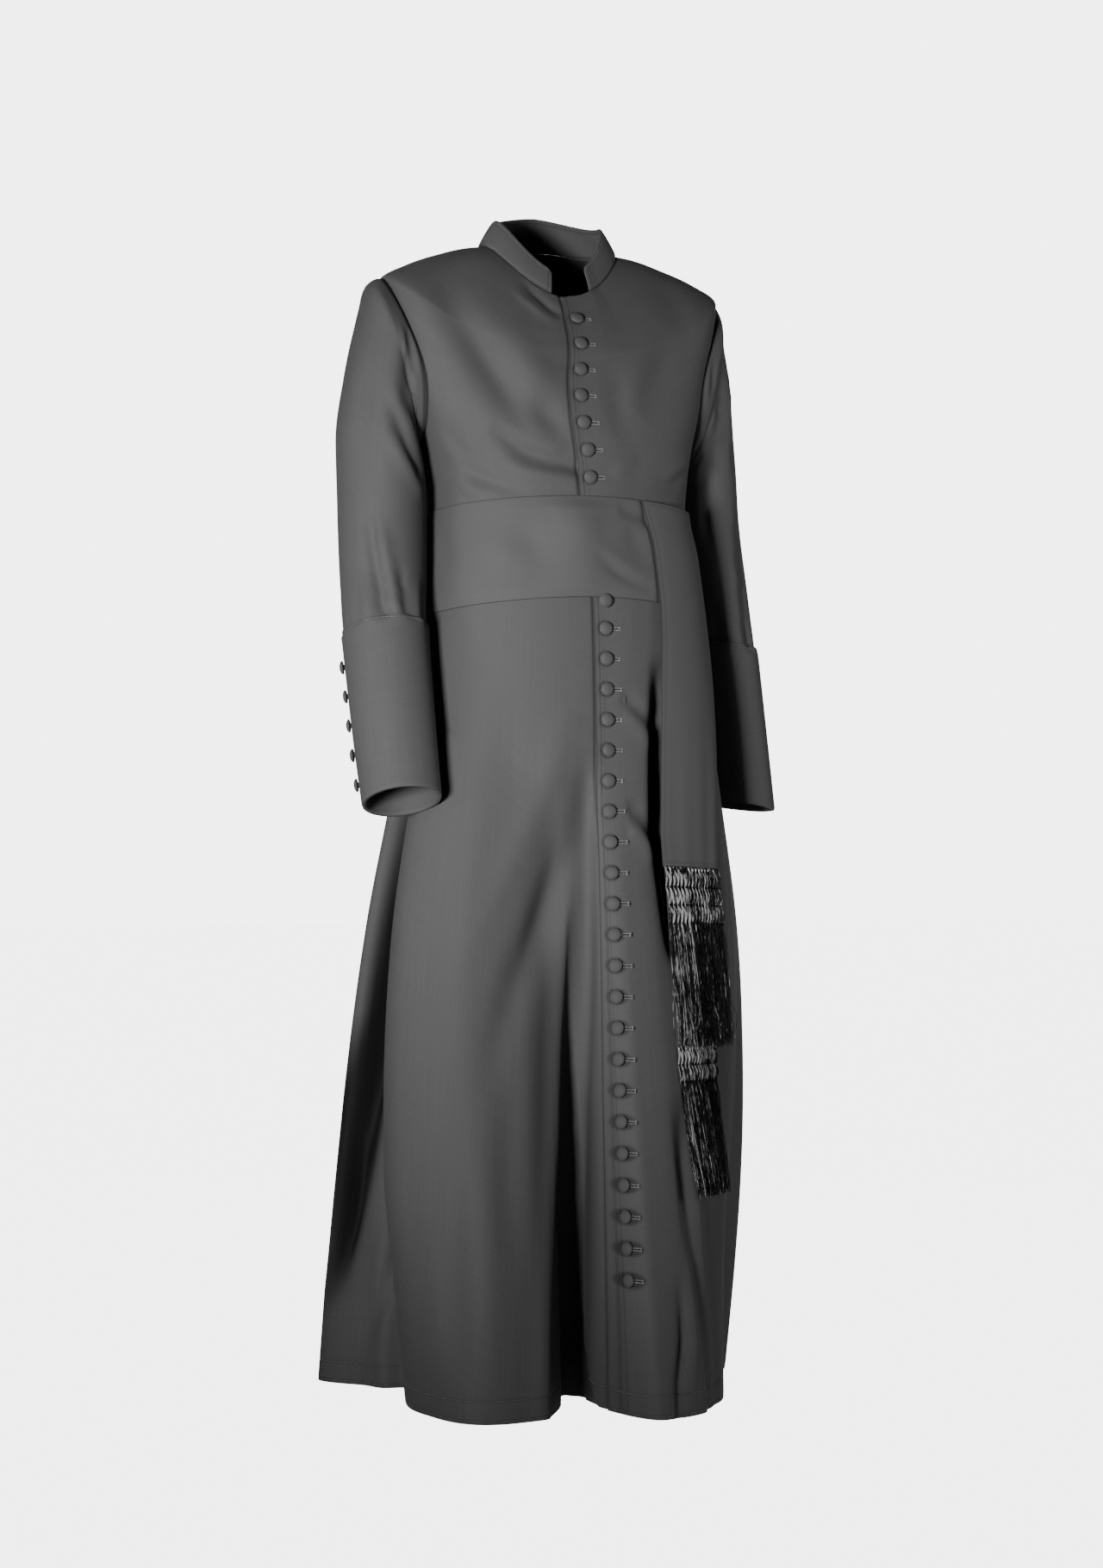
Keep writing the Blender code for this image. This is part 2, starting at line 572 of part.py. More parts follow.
def make_buttons(panels, cuffs, cloth, collection):
    """The buttons down the front, the one that holds the sash's lower edge, and those on the cuffs."""
    mesh = button_mesh(cloth, 0.0)
    tall = button_mesh(cloth, SASH_CLOTH + GAP)
    front = panels["front_left"]
    points = front.points[:, BUTTON_COLUMN]
    line = points, front.normals[:, BUTTON_COLUMN], -points[:, 2]
    for number, depth in enumerate(np.linspace(*CHEST_BUTTON_DEPTHS, CHEST_BUTTONS)):
        add_button(f"button_chest_{number + 1}", mesh, spot_on(*line, depth), cloth, collection)
    under_band = -points[BAND_ROWS][-1, 2] + BUTTON_NECK + 0.001
    add_button("button_sash", tall, spot_on(*line, under_band), cloth, collection)
    for number, depth in enumerate(np.linspace(*SKIRT_BUTTON_DEPTHS, SKIRT_BUTTONS)):
        add_button(f"button_skirt_{number + 1:02d}", mesh, spot_on(*line, depth), cloth, collection)
    for word, (points, normals) in cuffs.items():
        points, normals = points[:, CUFF_BUTTON_COLUMN], normals[:, CUFF_BUTTON_COLUMN]
        reach = np.concatenate([[0], np.cumsum(np.linalg.norm(np.diff(points, axis=0), axis=1))])
        for number, along in enumerate(np.linspace(*CUFF_BUTTON_REACH, CUFF_BUTTONS)):
            spot = spot_on(points, normals, reach, along)
            add_button(f"button_cuff_{word}_{number + 1}", mesh, spot, cloth, collection)


def clear_scene():
    """Leaves nothing of the startup scene."""
    for obj in list(bpy.data.objects):
        bpy.data.objects.remove(obj)


def main():
    """Builds the garment, piece by piece, from the body outwards."""
    clear_scene()
    collection = bpy.data.collections.new("cassock")
    bpy.context.scene.collection.children.link(collection)
    wool = material("wool", WOOL)
    sash = material("sash_wool", SASH_WOOL)
    silk = material("silk", SILK)
    panels = make_body(wool, collection)
    cuffs = make_sleeves(panels, wool, collection)
    make_collar(panels, wool, collection)
    make_band(sash, collection)
    over_band = GAP + SASH_CLOTH + GAP
    over_back_fall = over_band + SASH_CLOTH + GAP
    make_fall("sash_fall_back", BACK_FALL, over_band, sash, collection)
    make_fall("sash_fall_front", FRONT_FALL, over_back_fall, sash, collection)
    make_fringe("fringe_back", BACK_FALL, over_band, BACK_FRINGE_LENGTH, silk, collection)
    make_fringe("fringe_front", FRONT_FALL, over_back_fall, FRONT_FRINGE_LENGTH, silk, collection)
    make_buttons(panels, cuffs, wool, collection)


main()
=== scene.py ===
"""A single-breasted cassock in its worn shape, with its fringed sash, dressed in cloth, thread and covered buttons.

Metres, +Z up. The wearer faces -Y and the wearer's left is +X. A turn is an angle in degrees round the body, 0 at the
front and 90 at the wearer's left. A drop is a distance down from the neck points, measured at the wearer's sides.
"""

from __future__ import annotations

import json
import logging
import math
from collections.abc import Callable, Iterable
from dataclasses import dataclass, field
from enum import Enum

import bpy
import numpy as np
from mathutils import Matrix, Vector

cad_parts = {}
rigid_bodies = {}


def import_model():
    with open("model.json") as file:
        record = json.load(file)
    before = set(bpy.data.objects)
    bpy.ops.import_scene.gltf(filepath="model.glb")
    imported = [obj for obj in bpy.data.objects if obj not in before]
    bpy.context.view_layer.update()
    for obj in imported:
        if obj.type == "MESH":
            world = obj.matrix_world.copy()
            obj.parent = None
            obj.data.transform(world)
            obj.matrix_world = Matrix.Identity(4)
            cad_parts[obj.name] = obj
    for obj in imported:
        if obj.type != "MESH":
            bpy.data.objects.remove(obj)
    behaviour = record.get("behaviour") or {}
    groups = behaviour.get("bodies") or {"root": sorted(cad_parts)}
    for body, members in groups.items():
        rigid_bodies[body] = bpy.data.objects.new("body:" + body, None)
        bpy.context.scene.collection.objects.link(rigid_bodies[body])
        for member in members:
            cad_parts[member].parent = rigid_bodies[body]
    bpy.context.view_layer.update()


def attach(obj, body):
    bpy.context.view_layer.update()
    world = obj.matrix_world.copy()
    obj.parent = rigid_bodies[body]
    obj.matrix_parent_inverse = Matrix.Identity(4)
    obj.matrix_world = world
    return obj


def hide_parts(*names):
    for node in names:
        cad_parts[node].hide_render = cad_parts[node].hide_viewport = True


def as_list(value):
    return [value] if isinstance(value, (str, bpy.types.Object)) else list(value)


log = logging.getLogger("cassock")
Grid = np.ndarray

MM_IN_METRE = 1000
CLOTH = 0.002
SASH_CLOTH = 0.0015
COLLAR_CLOTH = 0.0025
GAP = 0.0003
SEAM_SHOWN = 0.0002
LAYER = CLOTH + GAP
TIP_DROP = 0.046
ARMPIT_DROP = 0.240
BAND_TOP = 0.315
BAND_BOTTOM = 0.437
HEM_DROP = 1.343
EDGE_OVERLAP = 0.013
UNDERLAP = 0.025


class Side(Enum):
    """The wearer's side that a piece belongs to."""

    RIGHT = -1
    LEFT = 1

    @property
    def word(self) -> str:
        """The side's name as the pieces use it."""
        return self.name.lower()


class Hold(Enum):
    """How a sheet of cloth is held."""

    HUNG = "hung"
    STRETCHED = "stretched"


@dataclass(frozen=True)
class Section:
    """The body's outline at one drop."""

    drop: float
    sway: float
    half_width: float
    front: float
    back: float
    front_dip: float
    back_dip: float
    square: float


@dataclass(frozen=True)
class Fold:
    """A crest (+) or trough (-) that runs down the skirt."""

    top_turn: float
    hem_turn: float
    depth: float
    belly: float
    start: float
    growth: float


@dataclass(frozen=True)
class Crease:
    """A soft ridge (+) or trough (-) along a path of (turn, drop) places, fading towards its ends."""

    height: float
    width: float
    path: tuple[tuple[float, float], ...]
    ends: tuple[float, float] = (0.0, 0.0)


def table(kind: type, *rows: tuple) -> tuple:
    """A table of this kind of row."""
    return tuple(kind(*row) for row in rows)


def creases(*rows: tuple) -> tuple[Crease, ...]:
    """Creases from rows of a height and a width in millimetres, a path and, where they aren't 0, its ends."""
    return tuple(Crease(high / MM_IN_METRE, wide / MM_IN_METRE, *path) for high, wide, *path in rows)


SECTIONS = table(
    Section,
    (0.000, -0.006, 0.082, 0.069, 0.067, 0.066, -0.012, 0.00),
    (0.003, -0.005, 0.104, 0.078, 0.075, 0.076, -0.008, 0.01),
    (0.011, -0.005, 0.133, 0.089, 0.085, 0.086, 0.002, 0.02),
    (0.027, -0.004, 0.177, 0.102, 0.098, 0.094, 0.014, 0.04),
    (0.046, -0.004, 0.2075, 0.110, 0.104, 0.096, 0.024, 0.06),
    (0.085, -0.005, 0.202, 0.117, 0.112, 0.082, 0.018, 0.07),
    (0.130, -0.006, 0.193, 0.123, 0.118, 0.060, 0.012, 0.07),
    (0.180, -0.005, 0.183, 0.127, 0.119, 0.034, 0.006, 0.07),
    (0.240, -0.001, 0.167, 0.129, 0.116, 0.004, 0.000, 0.06),
    (0.275, 0.003, 0.159, 0.128, 0.111, -0.004, 0.000, 0.05),
    (0.315, 0.004, 0.155, 0.129, 0.108, -0.010, 0.000, 0.05),
    (0.375, 0.009, 0.162, 0.132, 0.108, -0.013, 0.000, 0.05),
    (0.437, 0.010, 0.169, 0.137, 0.116, -0.015, 0.000, 0.05),
    (0.520, 0.009, 0.178, 0.147, 0.132, -0.012, 0.000, 0.05),
    (0.650, 0.008, 0.190, 0.158, 0.148, -0.008, 0.000, 0.04),
    (0.800, 0.006, 0.204, 0.171, 0.168, -0.004, 0.000, 0.03),
    (1.000, 0.003, 0.214, 0.184, 0.186, 0.000, 0.000, 0.02),
    (1.200, 0.001, 0.222, 0.194, 0.200, 0.000, 0.000, 0.01),
    (1.343, 0.000, 0.227, 0.200, 0.208, 0.000, 0.000, 0.00),
)

FOLDS = table(
    Fold,
    (-180, -180, -0.042, 0.000, 0.50, 0.9),
    (-164, -162, 0.030, 0.000, 0.50, 1.0),
    (-149, -147, -0.030, 0.000, 0.58, 1.0),
    (-134, -131, 0.038, 0.000, 0.55, 1.0),
    (-116, -114, 0.055, 0.006, 0.52, 0.9),
    (-98, -94, -0.052, 0.000, 0.50, 0.7),
    (-68, -50, 0.042, 0.026, 0.58, 0.5),
    (-50, -33, 0.080, 0.000, 0.50, 1.0),
    (-34, -20, 0.044, -0.008, 0.60, 1.2),
    (-16, -9, -0.096, 0.000, 0.62, 0.9),
    (4, 6, 0.078, -0.006, 0.66, 1.0),
    (20, 15, 0.070, 0.000, 0.70, 1.0),
    (42, 36, 0.020, 0.000, 0.70, 1.0),
    (66, 70, -0.045, 0.028, 0.56, 1.0),
    (98, 102, 0.014, 0.034, 0.57, 0.9),
    (118, 118, -0.040, 0.010, 0.50, 0.9),
    (134, 134, 0.036, 0.000, 0.55, 1.0),
    (150, 149, -0.030, 0.000, 0.58, 1.0),
    (165, 164, 0.032, 0.000, 0.50, 1.0),
)

# Where the line of front buttons runs, in metres to the wearer's left of the middle.
CLOSURE_DROPS = (0.0, 0.1, 0.28, 0.42, 0.6, 0.85, HEM_DROP)
CLOSURE_OFFSETS = (0.004, -0.004, -0.004, 0.004, 0.003, 0.005, 0.009)


def smooth_through(at: Grid, knots: Grid, values: Grid) -> Grid:
    """Reads a curve that runs through knots and never swings past them.

    Args:
        at: Where to read it, in any shape.
        knots: The knots' positions, rising; one row for all places or one for each.
        values: The knots' values, in the same layout.

    Returns:
        The curve's value at each place.
    """
    shape, at = at.shape, at.ravel()
    knots, values = np.broadcast_arrays(np.asarray(knots, float), np.asarray(values, float))
    if knots.ndim == 1:
        knots, values = (np.broadcast_to(row, (len(at), len(row))) for row in (knots, values))
    run = np.diff(knots, axis=1)
    rise = np.diff(values, axis=1) / run
    slope = np.empty(knots.shape)
    slope[:, 0], slope[:, -1] = rise[:, 0], rise[:, -1]
    before, after = rise[:, :-1], rise[:, 1:]
    same_way = before * after > 0
    total = np.where(same_way, before + after, 1.0)
    slope[:, 1:-1] = np.where(same_way, 2 * before * after / total, 0.0)
    at = np.clip(at, knots[:, 0], knots[:, -1])
    i = np.clip((knots <= at[:, None]).sum(axis=1) - 1, 0, run.shape[1] - 1)[:, None]

    def pick(table: Grid, index: Grid) -> Grid:
        """Each row's number at its own index."""
        return np.take_along_axis(table, index, axis=1)[:, 0]

    width = pick(run, i)
    t = (at - pick(knots, i)) / width
    found = pick(values, i) * (1 + 2 * t) * (1 - t) ** 2 + pick(values, i + 1) * t * t * (3 - 2 * t)
    found += width * (pick(slope, i) * t * (1 - t) ** 2 - pick(slope, i + 1) * t * t * (1 - t))
    return found.reshape(shape)


def smooth_step(low: float, high: float, at: Grid) -> Grid:
    """0 below low and 1 above high, with a soft change between them; high may be the smaller one."""
    t = np.clip((np.asarray(at, float) - low) / (high - low), 0, 1)
    return t * t * (3 - 2 * t)


def bell(distance: Grid, width: float) -> Grid:
    """1 at no distance, fading softly to 0 past the width."""
    return np.exp(-((distance / width) ** 2))


def unit(vectors: Grid) -> Grid:
    """The vectors at length one."""
    return vectors / np.maximum(np.linalg.norm(vectors, axis=-1, keepdims=True), 1e-12)


def run_along(points: Grid) -> Grid:
    """The distance along rows of points, from each row's first one."""
    steps = np.linalg.norm(np.diff(points, axis=-2), axis=-1)
    return np.concatenate([np.zeros((*steps.shape[:-1], 1)), np.cumsum(steps, axis=-1)], axis=-1)


def run_down(points: Grid) -> Grid:
    """The distance down columns of points, from each column's first one."""
    return run_along(points.swapaxes(0, 1)).swapaxes(0, 1)


def sizes_of(rows: Iterable[object], name: str) -> Grid:
    """One field of a table's rows."""
    return np.array([getattr(row, name) for row in rows])


def between_rows(at: Grid, knots: Grid, table: Grid) -> Grid:
    """The table's rows, read straight between its knots."""
    return np.stack([np.interp(at, knots, values) for values in table.T], axis=-1)


def nearest(values: Grid, wanted: float) -> int:
    """The index of the value that lies nearest."""
    return int(np.argmin(abs(values - wanted)))


def rimmed(low: float, high: float, rim: Grid, gap: float, count: int) -> Grid:
    """Places from low to high that lie closer together at both ends.

    Args:
        low: The first place.
        high: The last place.
        rim: The close places' distances from either end.
        gap: How far from the ends the even places start.
        count: How many even places there are.

    Returns:
        The places, rising.
    """
    return np.concatenate([low + rim, np.linspace(low + gap, high - gap, count), high - rim[::-1]])


@dataclass(frozen=True)
class Figure:
    """The outside of the body's cloth, as a surface over turn and drop."""

    sections: tuple[Section, ...] = SECTIONS
    folds: tuple[Fold, ...] = FOLDS
    step_down: float = 0.0004
    step_round: float = 0.4

    def across(self, drops: Grid, name: str) -> Grid:
        """One of the sections' sizes at these drops."""
        return smooth_through(drops, sizes_of(self.sections, "drop"), sizes_of(self.sections, name))

    def reach(self, drops: Grid, turns: Grid) -> Grid:
        """How far the folds carry the cloth out (+) or in (-).

        Args:
            drops: One drop for each place.
            turns: One turn for each place.

        Returns:
            One distance for each place.
        """
        table = {name: sizes_of(self.folds, name) for name in Fold.__dataclass_fields__}
        start = table["start"]
        drops = drops.reshape(-1, 1)
        grown = np.clip((drops - start) / (HEM_DROP - start), 0, 1)
        down = np.clip((drops - BAND_BOTTOM) / (HEM_DROP - BAND_BOTTOM), 0, 1)
        knots = table["top_turn"] + (table["hem_turn"] - table["top_turn"]) * down
        depths = table["depth"] * grown ** table["growth"] + table["belly"] * np.sin(math.pi * grown)
        around = np.concatenate([knots - 360, knots, knots + 360], axis=1)
        return smooth_through(turns, around, np.concatenate([depths] * 3, axis=1))

    def place(self, drops: Grid, turns: Grid) -> Grid:
        """Points on the cloth's outside.

        Args:
            drops: Each point's drop.
            turns: Each point's turn, in a shape that fits the drops'.

        Returns:
            The points, in the shared shape.
        """
        drops, turns = np.broadcast_arrays(drops, turns)
        angle = np.radians(turns)
        side, ahead = np.sin(angle), np.cos(angle)
        fuller = 1 + self.across(drops, "square") * np.sin(2 * angle) ** 2
        x = self.across(drops, "half_width") * side * fuller
        depth = np.where(ahead > 0, self.across(drops, "front"), self.across(drops, "back"))
        y = -depth * ahead * fuller
        dip = np.where(ahead > 0, self.across(drops, "front_dip"), self.across(drops, "back_dip")) * ahead**2
        away = 1 + self.reach(drops, turns) / np.hypot(x, y)
        return np.stack([self.across(drops, "sway") + x * away, y * away, -drops - dip], axis=-1)

    def skin(self, drops: Grid, turns: Grid) -> tuple[Grid, Grid]:
        """The points at these drops and turns, and their outward normals."""
        low, high = np.maximum(drops - self.step_down, 0), np.minimum(drops + self.step_down, HEM_DROP)
        down = self.place(high, turns) - self.place(low, turns)
        round_it = self.place(drops, turns + self.step_round) - self.place(drops, turns - self.step_round)
        return self.place(drops, turns), unit(np.cross(down, round_it))

    def closure(self, drops: Grid) -> Grid:
        """How far the line of front buttons lies to the wearer's left."""
        return smooth_through(drops, np.array(CLOSURE_DROPS), np.array(CLOSURE_OFFSETS))

    def closure_turn(self, drops: Grid, offset: Grid | float) -> Grid:
        """The turn that lies this far to the wearer's left of the line of front buttons."""
        return np.degrees(np.arcsin((self.closure(drops) + offset) / self.across(drops, "half_width")))

    def closure_offset(self, drops: Grid, turns: Grid) -> Grid:
        """How far a turn lies to the wearer's left of the line of front buttons."""
        return np.sin(np.radians(turns)) * self.across(drops, "half_width") - self.closure(drops)

    def locate(self, turns: Grid, drops: Grid) -> Grid:
        """The places that a crease's path names."""
        return self.place(drops, turns)


FIGURE = Figure()


def relief(points: Grid, lines: tuple[Crease, ...], locate: Callable[[Grid, Grid], Grid] = FIGURE.locate) -> Grid:
    """How far the creases move each point out (+) or in (-).

    Args:
        points: The cloth's points, in any shape.
        lines: The creases on this piece.
        locate: A function from arrays of a path's first and second numbers to points in space.

    Returns:
        One distance for each point.
    """
    flat = points.reshape(-1, 3)
    moved = np.zeros(len(flat))
    samples = 25
    share = np.linspace(0, 1, samples)
    for crease in lines:
        path = np.array(crease.path, float)
        knots = np.linspace(0, 1, len(path))
        line = locate(smooth_through(share, knots, path[:, 0]), smooth_through(share, knots, path[:, 1]))
        reach = 3 * crease.width
        near = np.all((flat > line.min(axis=0) - reach) & (flat < line.max(axis=0) + reach), axis=1)
        spots = flat[near]
        if not len(spots):
            continue
        best = np.full(len(spots), np.inf)
        along = np.zeros(len(spots))
        for i in range(samples - 1):
            run = line[i + 1] - line[i]
            t = np.clip(((spots - line[i]) @ run) / max(run @ run, 1e-12), 0, 1)
            far = np.linalg.norm(spots - line[i] - t[:, None] * run, axis=1)
            closer = far < best
            best = np.where(closer, far, best)
            along = np.where(closer, (i + t) / (samples - 1), along)
        first, last = crease.ends
        held = first * (1 - along) + last * along
        strength = held + (1 - held) * np.sin(math.pi * along)
        moved[near] += crease.height * strength * bell(best, crease.width)
    return moved.reshape(points.shape[:-1])


def set_mark(mesh: bpy.types.Mesh, name: str, values: Grid | list[float], kind: str = "FLOAT") -> None:
    """Gives each point of a mesh its own number, or vector, under a name."""
    attribute = mesh.attributes.new(name, kind, "POINT")
    attribute.data.foreach_set("value" if kind == "FLOAT" else "vector", np.asarray(values, np.float32).ravel())


def set_weave(mesh: bpy.types.Mesh, flat: Grid) -> None:
    """Gives a mesh its weave's map, from the metres across and along the cloth at each of its points."""
    ends = np.zeros(len(mesh.loops), np.int32)
    mesh.loops.foreach_get("vertex_index", ends)
    mesh.uv_layers.new(name="weave").data.foreach_set("uv", flat[ends].astype(np.float32).ravel())


def set_all(thing: object, **values: object) -> None:
    """Sets each of these on the thing."""
    for key, value in values.items():
        setattr(thing, key, value)


def put_in_scene(name: str, data: bpy.types.ID) -> bpy.types.Object:
    """A new object with this data, in the scene."""
    made = bpy.data.objects.new(name, data)
    bpy.context.scene.collection.objects.link(made)
    return made


def smooth_mesh(name: str, points: list, faces: list) -> bpy.types.Mesh:
    """A mesh of these points and faces, shaded smooth."""
    made = bpy.data.meshes.new(name)
    made.from_pydata(points, [], faces)
    made.shade_smooth()
    return made


@dataclass
class Cloth:
    """A thin closed shell of cloth over a grid of points, rows by columns.

    Attributes:
        outer: The outside's points.
        inner: The inside's points.
        across: Metres across the cloth at each point, for its weave.
        along: Metres along it.
        closed: Whether the columns run all the way round.
        marks: Extra numbers for each point, by name, for the finish.
    """

    outer: Grid
    inner: Grid
    across: Grid
    along: Grid
    closed: bool = False
    marks: dict[str, Grid] = field(default_factory=dict)

    @classmethod
    def over(cls, outer: Grid, normals: Grid, thickness: float, closed: bool = False, **marks: Grid) -> Cloth:
        """A cloth with this outside.

        Args:
            outer: The outside's points.
            normals: Their outward normals.
            thickness: How far the inside lies below the outside.
            closed: Whether the columns run all the way round.
            **marks: Extra numbers for each point.

        Returns:
            The cloth.
        """
        wide = run_along(outer[outer.shape[0] // 2][None])[0]
        across = np.broadcast_to(wide, outer.shape[:2])
        return cls(outer, outer - normals * thickness, across, run_down(outer), closed, marks)

    def line(self, place: object) -> tuple[Grid, Grid]:
        """The outside's points and their normals at this part of the grid."""
        return self.outer[place], unit(self.outer[place] - self.inner[place])

    def mesh(self, name: str) -> bpy.types.Mesh:
        """The shell's mesh, facing out, with its weave's map and its marks.

        Args:
            name: The mesh's name.

        Returns:
            The mesh.
        """
        rows, columns = self.outer.shape[:2]
        count = rows * columns
        index = np.arange(count).reshape(rows, columns)
        right = np.roll(index, -1, axis=1) if self.closed else index[:, 1:]
        left = index if self.closed else index[:, :-1]
        quads = np.stack([left[:-1], left[1:], right[1:], right[:-1]], axis=-1).reshape(-1, 4)
        edges = [(right[0], left[0]), (left[-1], right[-1])]
        if not self.closed:
            edges += [(index[:-1, 0], index[1:, 0]), (index[1:, -1], index[:-1, -1])]
        rims = [np.stack([start, start + count, end + count, end], axis=-1) for start, end in edges]
        faces = np.concatenate([quads, quads[:, ::-1] + count, *rims])
        points = np.concatenate([self.outer.reshape(-1, 3), self.inner.reshape(-1, 3)])
        if self.volume(points, faces) < 0:
            faces = faces[:, ::-1]
        made = smooth_mesh(name, points.tolist(), faces.tolist())
        flat = np.stack([self.across.ravel(), self.along.ravel()], axis=1)
        set_weave(made, np.concatenate([flat, flat]))
        for mark, numbers in self.marks.items():
            values = np.broadcast_to(numbers, (rows, columns)).ravel()
            set_mark(made, mark, np.concatenate([values, values]))
        made.update()
        return made

    def volume(self, points: Grid, faces: Grid) -> float:
        """Six times the signed volume that these faces close."""
        a, b, c, d = (points[faces[:, i]] for i in range(4))
        return float((a * np.cross(b, c)).sum() + (a * np.cross(c, d)).sum())


@dataclass
class Wardrobe:
    """Puts finished pieces in the scene and keeps them by name."""

    collection: bpy.types.Collection
    pieces: dict[str, bpy.types.Object] = field(default_factory=dict)

    def add(self, name: str, mesh: bpy.types.Mesh, material: bpy.types.Material, slot: str, *nodes: str) -> None:
        """Links a piece, gives it its finish and ties it to the frame.

        Args:
            name: The piece's name.
            mesh: Its mesh, in place.
            material: Its finish.
            slot: The record's material slot; not used.
            *nodes: The frame's nodes that it replaces.
        """
        made = bpy.data.objects.new(name, mesh)
        self.collection.objects.link(made)
        mesh.materials.clear()
        mesh.materials.append(material)
        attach(made, "root")
        if nodes:
            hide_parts(*nodes)
        self.pieces[name] = made
        log.info("%s: %d faces", name, len(mesh.polygons))


def maths_method(operation: str, swapped: bool = False) -> Callable[[Ply, Ply | float], Ply]:
    """A method that adds a Math node of this operation; swapped, its two numbers change places."""

    def method(self: Ply, other: Ply | float) -> Ply:
        """The Math node's result."""
        return self.maths(operation, *((other, self) if swapped else (self, other)))

    return method


class Ply:
    """A number in a tree of nodes, on which arithmetic adds Math nodes."""

    def __init__(self, bench: Bench, socket: bpy.types.NodeSocket) -> None:
        """Wraps a socket of the bench's tree."""
        self.bench = bench
        self.socket = socket

    def maths(self, operation: str, *values: Ply | float) -> Ply:
        """A Math node's result."""
        return self.bench.node("ShaderNodeMath", {"operation": operation}, *values)

    __add__ = __radd__ = maths_method("ADD")
    __sub__ = maths_method("SUBTRACT")
    __rsub__ = maths_method("SUBTRACT", swapped=True)
    __mul__ = __rmul__ = maths_method("MULTIPLY")
    __truediv__ = maths_method("DIVIDE")
    __pow__ = maths_method("POWER")

    def wave(self) -> Ply:
        """The sine, brought to run from 0 to 1."""
        return self.maths("SINE", self) * 0.5 + 0.5

    def fading(self) -> Ply:
        """1 at 0, falling towards 0 as the number grows."""
        return self.maths("EXPONENT", self * -1.0)

    def between(self, low: float, high: float) -> Ply:
        """0 below low and 1 above high, softly."""
        named = {"From_Min": low, "From_Max": high, "To_Min": 0.0, "To_Max": 1.0}
        return self.bench.node("ShaderNodeMapRange", {"interpolation_type": "SMOOTHSTEP"}, Value=self, **named)


class Bench:
    """Builds the nodes of one tree."""

    def __init__(self, tree: bpy.types.NodeTree) -> None:
        """Takes up the tree."""
        self.tree = tree

    def feed(self, socket: bpy.types.NodeSocket, value: object) -> None:
        """Gives a socket a link or a value of its own."""
        if isinstance(value, Ply):
            self.tree.links.new(value.socket, socket)
        else:
            socket.default_value = value

    def node(self, kind: str, settings: dict[str, object], *values: object, output: str = "", **named: object) -> Ply:
        """Adds a node.

        Args:
            kind: The node's type.
            settings: Its settings, made before its sockets are read.
            *values: What its first sockets in use get, in order.
            output: The output to return; without a name, the first one in use.
            **named: What its sockets of these names get, with _ for a space.

        Returns:
            The output.
        """
        made = self.tree.nodes.new(kind)
        set_all(made, **settings)
        for socket, value in zip([socket for socket in made.inputs if socket.enabled], values):
            self.feed(socket, value)
        for name, value in named.items():
            self.feed(made.inputs[name.replace("_", " ")], value)
        return Ply(self, made.outputs[output] if output else next(socket for socket in made.outputs if socket.enabled))


class Dye(Bench):
    """Builds one material's nodes."""

    def __init__(self, name: str) -> None:
        """Starts a material with a Principled shader."""
        self.material = bpy.data.materials.new(name)
        self.material.use_nodes = True
        super().__init__(self.material.node_tree)
        self.shader = self.tree.nodes["Principled BSDF"]

    def dressed(self, **named: object) -> bpy.types.Material:
        """The material, once these of its shader's sockets are fed, with _ for a space."""
        for name, value in named.items():
            self.feed(self.shader.inputs[name.replace("_", " ")], value)
        return self.material

    def mark(self, name: str) -> Ply:
        """One of the piece's own numbers."""
        return self.node("ShaderNodeAttribute", {"attribute_name": name}, output="Fac")

    def object_place(self) -> Ply:
        """The point's place in the object's own frame."""
        return self.node("ShaderNodeTexCoord", {}, output="Object")

    def noise(
        self, place: Ply, scale: float | tuple[float, float, float], detail: float = 2.0, roughness: float = 0.5
    ) -> Ply:
        """Soft noise, about 0.5.

        Args:
            place: Where it is read.
            scale: Its scale, or one for each direction.
            detail: How many finer layers it has.
            roughness: How strong they are.

        Returns:
            The noise.
        """
        if isinstance(scale, tuple):
            place = self.node("ShaderNodeVectorMath", {"operation": "MULTIPLY"}, place, scale)
            scale = 1.0
        named = {"Vector": place, "Scale": scale, "Detail": detail, "Roughness": roughness}
        return self.node("ShaderNodeTexNoise", {"noise_dimensions": "3D"}, **named)

    def blend(self, share: Ply, first: object, second: object) -> Ply:
        """A mix of two colours."""
        return self.node("ShaderNodeMix", {"data_type": "RGBA"}, share, first, second)

    def bump(self, height: Ply, strength: float, distance: float, **over: Ply) -> Ply:
        """A bumped normal, over the one given as Normal."""
        return self.node("ShaderNodeBump", {}, Strength=strength, Distance=distance, Height=height, **over)


def grey(value: float) -> tuple[float, float, float, float]:
    """A grey colour."""
    return (value, value, value, 1.0)


